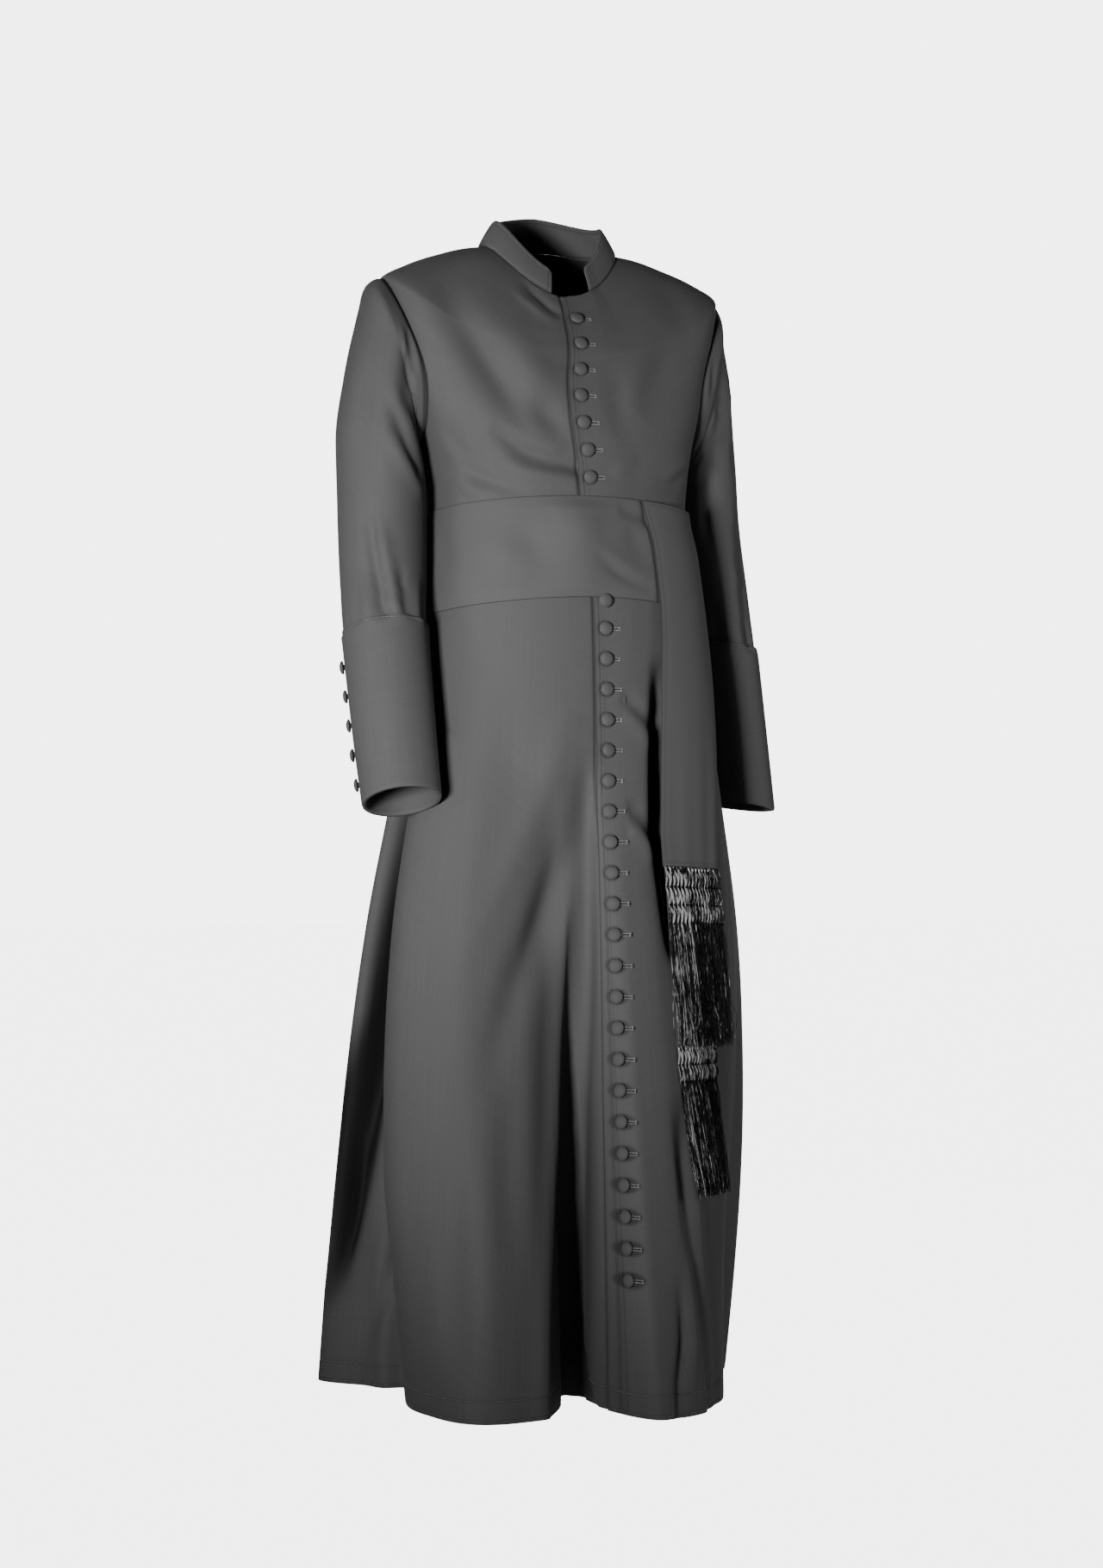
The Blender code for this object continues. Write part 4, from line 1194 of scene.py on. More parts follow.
@dataclass
class Sleeve:
    """A set-in sleeve with its deep cuff turned back over its lower end.

    The creases' paths are (degrees round the sleeve, ring) places: 0 is the outer side and 90 the front. Each
    row of the grid lies at one of the steps from ring to ring; seam is each point's way down from the armhole.
    """

    side: Side
    front: Cloth
    back: Cloth
    creases: tuple[Crease, ...]
    steps: Grid = field(init=False)
    grid: Grid = field(init=False)
    normals: Grid = field(init=False)
    seam: Grid = field(init=False)

    def __post_init__(self) -> None:
        """Works out the sleeve's outside, from the armhole to the wrist."""
        rows = slice(TIP_ROW, ARMPIT_ROW + 1)
        loop = np.concatenate([self.front.outer[rows, -1], self.back.outer[rows, 0][-2:0:-1]])
        inward = (loop.mean(axis=0) - loop) * (0, 1, 1)
        loop = loop + unit(inward) * 0.0004 + np.array([self.side.value * 0.0003, 0, 0])
        control = np.array([loop] + [self.ring(ring, len(loop)) for ring in SLEEVES[self.side]])
        steps = [0.0]
        for start, count in enumerate(RING_ROWS):
            even = (np.arange(count) + 1) / count
            steps += list(start + (even**1.5 if start == 0 else even))
        self.steps = np.array(steps)
        knots = np.arange(len(control))
        dense = [smooth_through(self.steps, knots, values) for values in control.reshape(len(control), -1).T]
        grid = np.stack(dense, axis=1).reshape(len(steps), len(loop), 3)
        seam = run_down(grid)
        moved = relief(grid, self.creases, lambda degrees, ring: self.spot(grid, degrees, ring))
        moved = moved * smooth_step(0.0, 0.006, seam) + self.gathers(len(loop))
        moved += 0.0034 * smooth_step(0.0, 0.007, seam) * smooth_step(0.040, 0.009, seam)
        self.grid = grid + self.tube_normals(grid) * moved[..., None]
        self.normals = self.tube_normals(self.grid)
        self.seam = seam

    def ring(self, ring: SleeveRing, columns: int) -> Grid:
        """One ring's points: column 0 is the outer side, and a quarter of the way on is the front."""
        side = self.side.value
        pitch, swing = math.radians(ring.pitch), math.radians(ring.swing)
        middle = np.array([side * ring.out, ring.back, -ring.drop])
        up = np.array([side * math.sin(pitch), 0.0, math.cos(pitch)])
        front = np.array([0.0, -math.cos(swing), math.sin(swing)])
        angle = 2 * math.pi * np.arange(columns) / columns
        return middle + ring.across * np.cos(angle)[:, None] * up + ring.deep * np.sin(angle)[:, None] * front

    def tube_normals(self, grid: Grid) -> Grid:
        """Outward normals of the tube's points."""
        around = np.roll(grid, -1, axis=1) - np.roll(grid, 1, axis=1)
        return unit(np.cross(np.gradient(grid, axis=0), around)) * -self.side.value

    def spot(self, grid: Grid, degrees: Grid, ring: Grid) -> Grid:
        """The places on the sleeve at these degrees round it and rings down it."""
        row = np.round(np.interp(ring, self.steps, np.arange(len(self.steps)))).astype(int)
        return grid[row, np.round(degrees / 360 * grid.shape[1]).astype(int) % grid.shape[1]]

    def gathers(self, columns: int) -> Grid:
        """Small gathers where the sleeve's fulness goes into the cuff's top edge."""
        angle = 2 * math.pi * np.arange(columns) / columns
        top = CUFF_STARTS_AT_RING
        near = smooth_step(top - 1.0, top - 0.1, self.steps) * (1 - smooth_step(top, top + 0.1, self.steps))
        wave = np.sin(9 * angle + 0.6) * 0.6 + np.sin(14 * angle + 2.1 + 0.5 * np.sin(3 * angle)) * 0.4
        return 0.0016 * near[:, None] * wave

    def cloth(self) -> Cloth:
        """The sleeve's shell."""
        # Painted shade along the armhole seam.
        return Cloth.over(self.grid, self.normals, CLOTH, closed=True, groove=bell(self.seam, 0.0012))

    def cuff(self) -> Cloth:
        """The cuff's shell, over the sleeve's lower end."""
        rows = self.steps >= CUFF_STARTS_AT_RING
        under, outward = self.grid[rows], self.normals[rows]
        down = run_down(under)
        end = down.max(axis=0).min()
        ticks = np.concatenate([CUFF_EDGE, np.linspace(0.008, end - 0.006, 40), end - CUFF_EDGE[::-1] * 0.8])
        mean = down.mean(axis=1)
        rows_at = np.interp(ticks / end, mean / mean[-1], np.linspace(0, 1, len(under))) * (len(under) - 1)
        low = np.clip(np.floor(rows_at).astype(int), 0, len(under) - 2)
        t = (rows_at - low)[:, None, None]
        points, normals = (table[low] * (1 - t) + table[low + 1] * t for table in (under, outward))
        normals = unit(normals)
        edge, stitched = np.minimum(ticks, ticks[-1] - ticks)[:, None], groove(ticks, CUFF_STITCH)[:, None]
        lift = GAP + CLOTH + CUFF_FLARE * np.linspace(1, 0, len(ticks))[:, None]
        lift = lift - 0.0006 * bell(edge, 0.0014) - 0.0005 * stitched
        # Painted shade along the stitching, and wear at the edges.
        marks = {"groove": stitched, "worn": bell(edge, 0.0012)}
        return Cloth.over(points + normals * lift[..., None], normals, CLOTH, closed=True, **marks)


RIGHT_SLEEVE_CREASES = creases(
    (-4.5, 5, ((62, 0.35), (78, 0.5), (96, 0.62)), (0.0, 0.8)),
    (3, 5, ((62, 0.55), (78, 0.7), (96, 0.8)), (0.0, 0.6)),
    (-4, 4.5, ((80, 0.85), (92, 0.95), (108, 1.0)), (0.0, 0.7)),
    (-4, 11, ((84, 1.6), (96, 2.2), (104, 2.8))),
    (3.6, 10, ((70, 2.0), (84, 2.6), (92, 3.2))),
    (-5.5, 8.5, ((72, 2.9), (96, 3.4), (128, 3.9)), (0.0, 0.7)),
    (4.2, 9, ((74, 3.5), (96, 3.9), (126, 4.4)), (0.0, 0.5)),
    (-4, 12, ((36, 2.6), (44, 3.4), (50, 4.2))),
    (-6, 7, ((52, 5.0), (60, 5.9), (74, 6.95)), (0.0, 1.0)),
    (4.5, 8, ((66, 5.2), (76, 6.0), (90, 6.95)), (0.0, 1.0)),
    (-3, 6, ((96, 6.0), (100, 6.5), (104, 6.95)), (0.0, 1.0)),
    (-4, 10, ((250, 3.0), (262, 4.0), (270, 5.0))),
    (-5, 9, ((230, 1.4), (250, 2.0), (268, 2.4))),
    (4, 10, ((300, 4.6), (296, 5.6), (290, 6.95)), (0.0, 0.6)),
    (-4, 9, ((320, 5.2), (314, 6.1), (308, 6.95)), (0.0, 1.0)),
)

LEFT_SLEEVE_CREASES = creases(
    (-4, 5, ((70, 0.45), (86, 0.6), (100, 0.7)), (0.0, 0.6)),
    (-4.5, 10, ((70, 1.2), (84, 2.2), (92, 3.2))),
    (3.6, 10, ((50, 1.8), (60, 3.0), (66, 4.2))),
    (-5.5, 10, ((96, 3.0), (104, 4.2), (104, 5.4)), (0.2, 0.0)),
    (-4, 9, ((40, 4.6), (50, 5.8), (58, 6.95)), (0.0, 1.0)),
    (3.6, 9, ((70, 5.0), (76, 6.0), (82, 6.95)), (0.0, 1.0)),
    (-4, 10, ((300, 2.0), (290, 3.2), (284, 4.4))),
    (-4.5, 9, ((320, 5.0), (314, 6.0), (306, 6.95)), (0.0, 1.0)),
    (-5, 9, ((250, 1.2), (262, 1.8), (276, 2.3))),
)


@dataclass(frozen=True)
class CollarStand:
    """How far the collar's top stands above the neckline and in from it, at one turn."""

    turn: float
    rise: float
    inset: float


COLLAR = (CollarStand(0, 0.029, 0.011), CollarStand(90, 0.031, 0.018), CollarStand(180, 0.037, 0.018))
COLLAR_EDGE = np.array([0, 0.0008, 0.0018, 0.0030, COLLAR_STITCH])


@dataclass(frozen=True)
class Collar:
    """The standing collar: it sits on the neckline, leans in and is open at the front."""

    curve: float = 0.001
    corner: float = 0.009
    columns: int = 200
    rows: int = 16

    def cloth(self) -> Cloth:
        """The collar's shell."""
        left, start = FIGURE.closure_turn(np.zeros(2), np.array([UNDERLAP, -EDGE_OVERLAP]))
        right = 360 + start + (-90 - start) / 12
        rim = np.array([0, 0.3, 0.9, 1.8, 3.0, 3.9, 4.6, 5.4, 7.0, 9.0])
        turns = rimmed(left, right, rim, 11, self.columns)
        zero, wrapped = np.zeros(len(turns)), (turns + 180) % 360 - 180
        base, outward = FIGURE.skin(zero, wrapped)
        away = run_along(base[None])[0]
        base = base + outward * (GAP + LAYER * smooth_step(left + 12, left, turns))[:, None]
        knots = sizes_of(COLLAR, "turn")
        rise, inset = (smooth_through(abs(wrapped), knots, sizes_of(COLLAR, name)) for name in ("rise", "inset"))
        inward = unit(-base * np.array([1, 1, 0]))
        lean = inward * inset[:, None] + np.array([0, 0, 1]) * rise[:, None]
        tall = np.linalg.norm(lean, axis=1)
        mean = tall.mean()
        ticks = np.array([*(1 - COLLAR_EDGE / mean), *np.linspace(1 - 0.006 / mean, 0.06, self.rows), 0.03, 0.0])
        from_top = (1 - ticks)[:, None] * tall
        ends = np.broadcast_to(np.minimum(away, away[-1] - away), from_top.shape)
        new_end, new_top = round_corner(ends, from_top, self.corner)
        spot = np.where(away < away[-1] / 2, new_end, away[-1] - new_end)
        share = 1 - new_top / tall
        base, lean, inward = (between_rows(spot, away, table) for table in (base, lean, inward))
        bow = self.curve * 4 * share * (1 - share)
        points = base + lean * share[..., None] - inward * bow[..., None]
        normals = unit(np.cross(np.gradient(points, axis=0), np.gradient(points, axis=1)))
        if (normals * inward).sum() > 0:
            normals = -normals
        near = np.minimum(ends, from_top)
        stitched = groove(np.where(from_top < 0.02, near, ends), COLLAR_STITCH)
        foot = bell(tall - from_top, 0.002)
        rolled = 0.0006 * bell(near, 0.0014) + 0.0005 * stitched + 0.0012 * foot
        # Painted shade along the stitching and at the collar's foot, where it also dips; wear at the edges.
        marks = {"groove": np.clip(stitched + foot, 0, 1), "worn": bell(near, 0.0012)}
        return Cloth.over(points + normals * (COLLAR_CLOTH - rolled)[..., None], normals, COLLAR_CLOTH, **marks)


@dataclass(frozen=True)
class FallRow:
    """Where a fall's two edges lie, in turn, and how far it hangs clear, at one drop."""

    drop: float
    front_edge: float
    side_edge: float
    clear: float


FRONT_FALL = table(
    FallRow,
    (BAND_TOP + 0.001, 22.5, 60.5, 0.0005),
    (0.375, 25, 62, 0.0005),
    (0.437, 25.5, 62, 0.0009),
    (0.540, 22.5, 56, 0.003),
    (0.650, 20, 50, 0.004),
    (0.737, 18, 45, 0.005),
)

BACK_FALL = table(
    FallRow,
    (BAND_TOP + 0.004, 23.5, 61.5, 0.0003),
    (0.375, 26, 63, 0.0003),
    (0.437, 26.5, 63, 0.0006),
    (0.540, 23.5, 57, 0.002),
    (0.650, 21, 51, 0.003),
    (0.800, 18.5, 42, 0.003),
    (0.936, 17, 37.5, 0.003),
)

OVER_BAND = GAP + SASH_CLOTH + GAP
OVER_BACK_FALL = OVER_BAND + SASH_CLOTH + GAP
FRINGE_TURN_DRIFT = 4.0

BAND_CREASES = creases(
    (-3, 6.5, ((-2.5, 0.386), (4, 0.401), (12, 0.414), (20, 0.421)), (0.0, 0.5)),
    (1.6, 8, ((-4, 0.372), (4, 0.386), (12, 0.399), (20, 0.405)), (0.0, 0.4)),
    (-3.4, 8.5, ((10, 0.328), (16, 0.331), (23, 0.338)), (0.0, 1.0)),
    (-3, 14, ((12, 0.352), (16, 0.366), (19, 0.386)), (0.0, 0.3)),
    (2.4, 20, ((-20, 0.345), (-8, 0.352), (2, 0.358))),
    (7, 36, ((-9, 0.325), (-8, 0.36), (-7, 0.425)), (0.6, 0.6)),
    (-2.2, 16, ((-34, 0.345), (-27, 0.372), (-22, 0.408))),
    (2.2, 17, ((-52, 0.35), (-42, 0.372), (-35, 0.4))),
    (-2.2, 12, ((-78, 0.35), (-68, 0.37), (-58, 0.385))),
    (-2.6, 14, ((130, 0.345), (146, 0.37), (160, 0.4))),
    (-2.6, 14, ((-126, 0.35), (-142, 0.374), (-158, 0.398))),
    (-2.2, 13, ((80, 0.35), (92, 0.376), (108, 0.392))),
)


@dataclass(frozen=True)
class Band:
    """The sash's band, closed round the waist."""

    columns: tuple[tuple[float, float, float], ...] = ((-12, 20, 0.7), (20, 27, 0.35), (27, 348, 1.5))

    def cloth(self) -> Cloth:
        """The band's shell."""
        drops = rimmed(BAND_TOP, BAND_BOTTOM, np.array([0, 0.0008, 0.002, 0.0036]), 0.007, 26)
        turns = (np.concatenate([np.arange(*part) for part in self.columns]) + 180) % 360 - 180
        drops, turns = np.meshgrid(drops, turns, indexing="ij")
        points, normals = FIGURE.skin(drops, turns)
        rim = np.minimum(drops - BAND_TOP, BAND_BOTTOM - drops)
        moved = (relief(points, BAND_CREASES) + 0.0010) * smooth_step(0.0, 0.016, rim)
        lift = self.over_closure(drops, turns) + GAP + SASH_CLOTH + moved - 0.0005 * bell(rim, 0.0012)
        edge = np.interp(drops, sizes_of(FRONT_FALL, "drop"), sizes_of(FRONT_FALL, "front_edge"))
        # Painted shade along the band's edges and a painted shadow line under the front fall's edge.
        lines = bell(rim, 0.0006) * 1.2 + bell(turns - edge + 0.5, 0.55) * 1.3
        return Cloth.over(points + normals * lift[..., None], normals, SASH_CLOTH, closed=True, groove=lines)

    def over_closure(self, drops: Grid, turns: Grid) -> Grid:
        """How far the left front's overlap pushes the band out."""
        offset = FIGURE.closure_offset(drops, turns)
        rise = smooth_step(-0.080, -EDGE_OVERLAP - 0.002, offset)
        return LAYER * rise * (1 - smooth_step(UNDERLAP, UNDERLAP + 0.060, offset)) * (abs(turns) < 60)


@dataclass(frozen=True)
class Fall:
    """One of the sash's two hanging falls, with what its fringe is measured by.

    Attributes:
        word: The fall's name among the pieces.
        rows: Its table.
        stand_off: How far it lies off the body where it is flat against what is under it.
        ripple: How deep its soft waves are.
        length: How far its fringe's longest threads reach below it.
        knot_rows: How far below it each row of knots lies.
        seed: The seed of its fringe's threads.
        lean: How far across the fall their ends hang aside.
    """

    word: str
    rows: tuple[FallRow, ...]
    stand_off: float
    ripple: float
    length: float
    knot_rows: tuple[float, ...]
    seed: int
    lean: float

    def places(self, drops: Grid, shares: Grid) -> tuple[Grid, Grid]:
        """Points and normals on the fall's inside.

        Args:
            drops: Each point's drop.
            shares: How far each point lies across the fall, from its front edge.

        Returns:
            The points and their normals, in the drops' shape.
        """
        knots = sizes_of(self.rows, "drop")
        start, end, clear = (
            smooth_through(drops, knots, sizes_of(self.rows, name)) for name in ("front_edge", "side_edge", "clear")
        )
        below = np.maximum(drops - self.rows[-1].drop, 0)
        turns = start + (end - start) * shares - FRINGE_TURN_DRIFT * below
        points, normals = FIGURE.skin(drops, turns)
        return points + normals * (self.stand_off + clear)[..., None], normals

    def cloth(self) -> Cloth:
        """The fall's shell."""
        rim = np.array([0, 0.0009, 0.0022, 0.004])
        top, bottom = self.rows[0].drop, self.rows[-1].drop
        drops = rimmed(top, bottom, rim, 0.008, round((bottom - top) / 0.005))
        drops, shares = np.meshgrid(drops, rimmed(0, 1, rim / 0.1, 0.07, 26), indexing="ij")
        points, normals = self.places(drops, shares)
        hang = smooth_step(BAND_BOTTOM, bottom, drops)
        wave = np.sin(shares * 9 + 2.4 * np.sin(drops * 7)) * 0.6 + np.sin(shares * 23 - drops * 9) * 0.4 * hang
        inside = smooth_step(0, 0.12, shares) * smooth_step(1, 0.88, shares)
        near = np.minimum(np.minimum(shares, 1 - shares) * 0.1, np.minimum(drops - top, bottom - drops))
        lift = SASH_CLOTH + (self.ripple * hang * wave + 0.0008) * inside - 0.0002 * bell(near, 0.0010)
        # Painted shade along the stitching and a painted dark line round the fall's edges.
        lines = groove(near, 0.004) * 0.4 + bell(near, 0.0006) * 1.4
        return Cloth.over(points + normals * lift[..., None], normals, SASH_CLOTH, groove=lines)


FALLS = (
    Fall("back", BACK_FALL, OVER_BAND, 0.0006, 0.172, (0.003, 0.021, 0.040), 11, 0.20),
    Fall("front", FRONT_FALL, OVER_BACK_FALL, 0.0009, 0.204, (0.003, 0.023, 0.043, 0.064), 3, 0.05),
)


class MeshTree(Bench):
    """Geometry Nodes with named inputs that turn a mesh of points or edges into one plain mesh."""

    def __init__(self, name: str, **kinds: str) -> None:
        """Starts a tree with an input of each kind beside the mesh and its finish."""
        super().__init__(bpy.data.node_groups.new(name, "GeometryNodeTree"))
        face = self.tree.interface
        self.sockets = {
            word: face.new_socket(word, in_out="INPUT", socket_type="NodeSocket" + kind).identifier
            for word, kind in {"Base": "Geometry", **kinds, "Finish": "Material"}.items()
        }
        face.new_socket("Result", in_out="OUTPUT", socket_type="NodeSocketGeometry")
        outputs = self.tree.nodes.new("NodeGroupInput").outputs
        self.given = {word: Ply(self, outputs[word]) for word in self.sockets}

    def end(self, shapes: Ply) -> None:
        """Ends the tree: the shapes become one real mesh with the finish."""
        real = self.node("GeometryNodeRealizeInstances", {}, shapes)
        dressed = self.node("GeometryNodeSetMaterial", {}, Geometry=real, Material=self.given["Finish"])
        self.feed(self.tree.nodes.new("NodeGroupOutput").inputs[0], dressed)

    def run(self, name: str, base: bpy.types.Mesh, **values: object) -> bpy.types.Mesh:
        """The tree's result as a plain mesh.

        Args:
            name: The new mesh's name.
            base: The mesh of points or edges.
            **values: The inputs' values, by name.

        Returns:
            The mesh.
        """
        holder = put_in_scene(name + "_holder", base)
        modifier = holder.modifiers.new(name, "NODES")
        modifier.node_group = self.tree
        for word, value in values.items():
            modifier[self.sockets[word]] = value
        graph = bpy.context.evaluated_depsgraph_get()
        made = bpy.data.meshes.new_from_object(holder.evaluated_get(graph), depsgraph=graph)
        made.name = name
        holder.modifiers.clear()
        bpy.data.objects.remove(holder)
        return made


class Repeats(MeshTree):
    """Sets one small shape on each of a mesh's points."""

    def __init__(self, wardrobe: Wardrobe) -> None:
        """Builds the tree."""
        super().__init__("repeat", Shape="Object", Size="Float", Uneven="Float", Seed="Int")
        self.wardrobe = wardrobe
        given = self.given
        angles, stretch = (
            self.node("GeometryNodeInputNamedAttribute", {"data_type": "FLOAT_VECTOR"}, name)
            for name in ("angles", "stretch")
        )
        shape = self.node("GeometryNodeObjectInfo", {}, given["Shape"], output="Geometry")
        spread = given["Uneven"] * -1.0, given["Uneven"]
        chance = self.node("FunctionNodeRandomValue", {"data_type": "FLOAT"}, *spread, Seed=given["Seed"])
        scale = self.node("ShaderNodeVectorMath", {"operation": "SCALE"}, stretch, Scale=chance + given["Size"])
        turn = self.node("FunctionNodeEulerToRotation", {}, angles)
        named = {"Points": given["Base"], "Instance": shape, "Rotation": turn, "Scale": scale}
        self.end(self.node("GeometryNodeInstanceOnPoints", {}, **named))

    def add(
        self,
        name: str,
        shape: bpy.types.Mesh,
        points: Grid,
        frames: Grid,
        finish: bpy.types.Material,
        slot: str = "wool",
        nodes: Iterable[str] = (),
        stretch: tuple[float, float, float] | Grid = (1.0, 1.0, 1.0),
        uneven: float = 0.0,
        seed: int = 1,
    ) -> bpy.types.Mesh:
        """Adds a piece: the shape, set on every point.

        Args:
            name: The piece's name.
            shape: The small shape.
            points: Where each one goes.
            frames: Each one's three axes, as the columns of a matrix.
            finish: Its material.
            slot: The record's material slot.
            nodes: The frame's nodes that the piece replaces.
            stretch: How much each one is scaled along its axes.
            uneven: How much the sizes differ.
            seed: The seed of that difference.

        Returns:
            The piece's mesh.
        """
        cloud = bpy.data.meshes.new(name + "_points")
        cloud.from_pydata(points.tolist(), [], [])
        angles = [tuple(Matrix(frame.tolist()).to_euler()) for frame in frames]
        set_mark(cloud, "angles", angles, "FLOAT_VECTOR")
        set_mark(cloud, "stretch", np.broadcast_to(stretch, (len(points), 3)), "FLOAT_VECTOR")
        pattern = put_in_scene(name + "_shape", shape)
        made = self.run(name, cloud, Shape=pattern, Size=1.0, Uneven=uneven, Seed=seed, Finish=finish)
        bpy.data.objects.remove(pattern)
        self.wardrobe.add(name, made, finish, slot, *nodes)
        return made


class Strands(MeshTree):
    """Turns edges into round threads."""

    def __init__(self) -> None:
        """Builds the tree."""
        super().__init__("threads", Radius="Float")
        circle = self.node("GeometryNodeCurvePrimitiveCircle", {}, Resolution=4, Radius=self.given["Radius"])
        curve = self.node("GeometryNodeMeshToCurve", {}, self.given["Base"])
        named = {"Curve": curve, "Profile_Curve": circle, "Fill_Caps": True}
        tube = self.node("GeometryNodeCurveToMesh", {}, **named)
        self.end(self.node("GeometryNodeSetShadeSmooth", {}, tube))


def lathe(name: str, profile: list[tuple[float, float]], steps: int) -> bpy.types.Mesh:
    """A closed solid of revolution about Z.

    Args:
        name: The mesh's name.
        profile: Its outline, as (radius, height) places from its top to its foot.
        steps: How many sides it has.

    Returns:
        The mesh.
    """
    verts: list[tuple[float, float, float]] = []
    rings: list[list[int]] = []
    turns = [2 * math.pi * i / steps for i in range(steps)]
    for radius, height in profile:
        if radius == 0:
            rings.append([len(verts)] * steps)
            verts.append((0.0, 0.0, height))
        else:
            rings.append(list(range(len(verts), len(verts) + steps)))
            verts += [(radius * math.cos(turn), radius * math.sin(turn), height) for turn in turns]
    faces = []
    for upper, lower in zip(rings, rings[1:]):
        for i in range(steps):
            j = (i + 1) % steps
            faces.append(list(dict.fromkeys([upper[i], lower[i], lower[j], upper[j]])))
    return smooth_mesh(name, verts, faces)


def frames_from(normals: Grid, along: Grid) -> Grid:
    """Frames whose Z is the normal and whose X lies as near as it can to along."""
    z = unit(normals)
    x = unit(along - (along * z).sum(axis=-1, keepdims=True) * z)
    return np.stack([x, np.cross(z, x), z], axis=-1)


STITCH_LENGTH = 0.0023
STITCH_THICKNESS = 0.00042


def stitch() -> bpy.types.Mesh:
    """One stitch: a short thread along X whose ends dive into the cloth."""
    verts, faces, sides = [], [], 5
    stations = ((-0.5, -0.9, 0.5), (-0.3, 0.25, 1.0), (0.3, 0.25, 1.0), (0.5, -0.9, 0.5))
    for along, up, fat in stations:
        for i in range(sides):
            angle = 2 * math.pi * i / sides
            y, z = math.cos(angle) * fat * 0.5, math.sin(angle) * fat * 0.5 + up * 0.5
            verts.append((along * STITCH_LENGTH, y * STITCH_THICKNESS, z * STITCH_THICKNESS))
    for start in range(0, len(verts) - sides, sides):
        for i in range(sides):
            j = (i + 1) % sides
            faces.append((start + i, start + j, start + sides + j, start + sides + i))
    faces += [tuple(range(sides - 1, -1, -1)), tuple(range(len(verts) - sides, len(verts)))]
    return smooth_mesh("stitch", verts, faces)


@dataclass(frozen=True)
class Sewing:
    """Lines of stitches, sewn along the cloth's own points."""

    repeats: Repeats
    pitch: float = 0.0031

    def sew(self, name: str, lines: list[tuple[Grid, Grid]], finish: bpy.types.Material) -> None:
        """Sews along each line of points, lying on the cloth that its normals name.

        Args:
            name: The piece's name.
            lines: Each line's points and normals.
            finish: The thread's material.
        """
        spots, ways, outs = [], [], []
        for points, normals in lines:
            along = run_along(points[None])[0]
            at = np.arange(self.pitch, along[-1] - self.pitch, self.pitch)
            place, ahead = between_rows(at, along, points), between_rows(at + 0.001, along, points)
            out = unit(between_rows(at, along, normals))
            spots.append(place + out * STITCH_THICKNESS * 0.28)
            ways.append(unit(ahead - place))
            outs.append(out)
        points, frames = np.concatenate(spots), frames_from(np.concatenate(outs), np.concatenate(ways))
        self.repeats.add(name, stitch(), points, frames, finish, uneven=0.06, seed=len(points) % 97)


@dataclass(frozen=True)
class Buttons:
    """Covered buttons and their worked buttonholes."""

    repeats: Repeats
    wool: bpy.types.Material
    thread: bpy.types.Material
    # the material of the slits' painted shadow
    gap: bpy.types.Material
    steps: int = 20
    shown_wider: float = 1.08
    hole_length: float = 0.0172
    slit_middle: float = 0.0122

    def shape(self) -> bpy.types.Mesh:
        """A covered button: a low dome whose cloth is drawn in under its rim."""
        shares = (0.0, 0.30, 0.56, 0.78, 0.93, 1.0, 0.96, 0.80, 0.42, 0.38, 0.0)
        heights = (0.0056, 0.00545, 0.0050, 0.0042, 0.0032, 0.0022, 0.0013, 0.0008, 0.0004, -0.0012, -0.0012)
        radius = BUTTON_RADIUS * self.shown_wider
        mesh = lathe("button", [(radius * share, height) for share, height in zip(shares, heights)], self.steps)
        places = np.array([vert.co for vert in mesh.vertices])
        # Painted shade under the button's rim.
        set_mark(mesh, "groove", places[:, 2] < 0.0015)
        set_weave(mesh, places[:, :2])
        return mesh

    def set_on(self, name: str, line: tuple[Grid, Grid, Grid], nodes: list[str], seed: int) -> None:
        """Sets a button on each place, each a little askew.

        Args:
            name: The piece's name.
            line: The buttons' places, their normals and their directions across.
            nodes: The frame's nodes that they replace.
            seed: The seed of how they are set.
        """
        points, normals, along = line
        tilt = np.random.default_rng(seed).normal(0, 0.05, (len(points), 3))
        frames, places = frames_from(unit(normals + tilt), along), points + normals * 0.0005
        self.repeats.add(name, self.shape(), places, frames, self.wool, nodes=nodes, uneven=0.02, seed=seed)

    def holes(self, name: str, line: tuple[Grid, Grid, Grid]) -> None:
        """Works a buttonhole at each place: two rows of small stitches, the slit's painted shadow and a bar at its end.

        Args:
            name: The piece's name.
            line: The holes' places, their normals and their directions across.
        """
        rng = np.random.default_rng(5)
        rows = []
        for point, normal, side in zip(*line):
            down = np.cross(normal, side)
            length = self.hole_length + rng.normal(0, 0.0005)
            for edge in (-1, 1):
                for at in np.arange(0.001, length, 0.00075):
                    spot = point + side * at + down * edge * 0.0014 + normal * 0.0004
                    rows.append((spot, down * edge + side * rng.normal(0, 0.15), normal, (0.62, 1.0, 1.25)))
            for at in np.linspace(-0.0021, 0.0021, 6):
                spot = point + side * (length + 0.0005) + down * at + normal * 0.0003
                rows.append((spot, side, normal, (0.85, 1.25, 1.5)))
        spots, ways, outs, sizes = (np.array(column) for column in zip(*rows))
        shape, frames = stitch(), frames_from(outs, ways)
        self.repeats.add(name, shape, spots, frames, self.thread, stretch=sizes, uneven=0.1, seed=3)
        points, normals, across = line
        # A flat dark stitch in each slit: its painted shadow.
        slit_shadows, frames = points + across * self.slit_middle + normals * 0.00012, frames_from(normals, across)
        self.repeats.add(name + "_slits", shape, slit_shadows, frames, self.gap, stretch=(5.2, 1.9, 0.6))


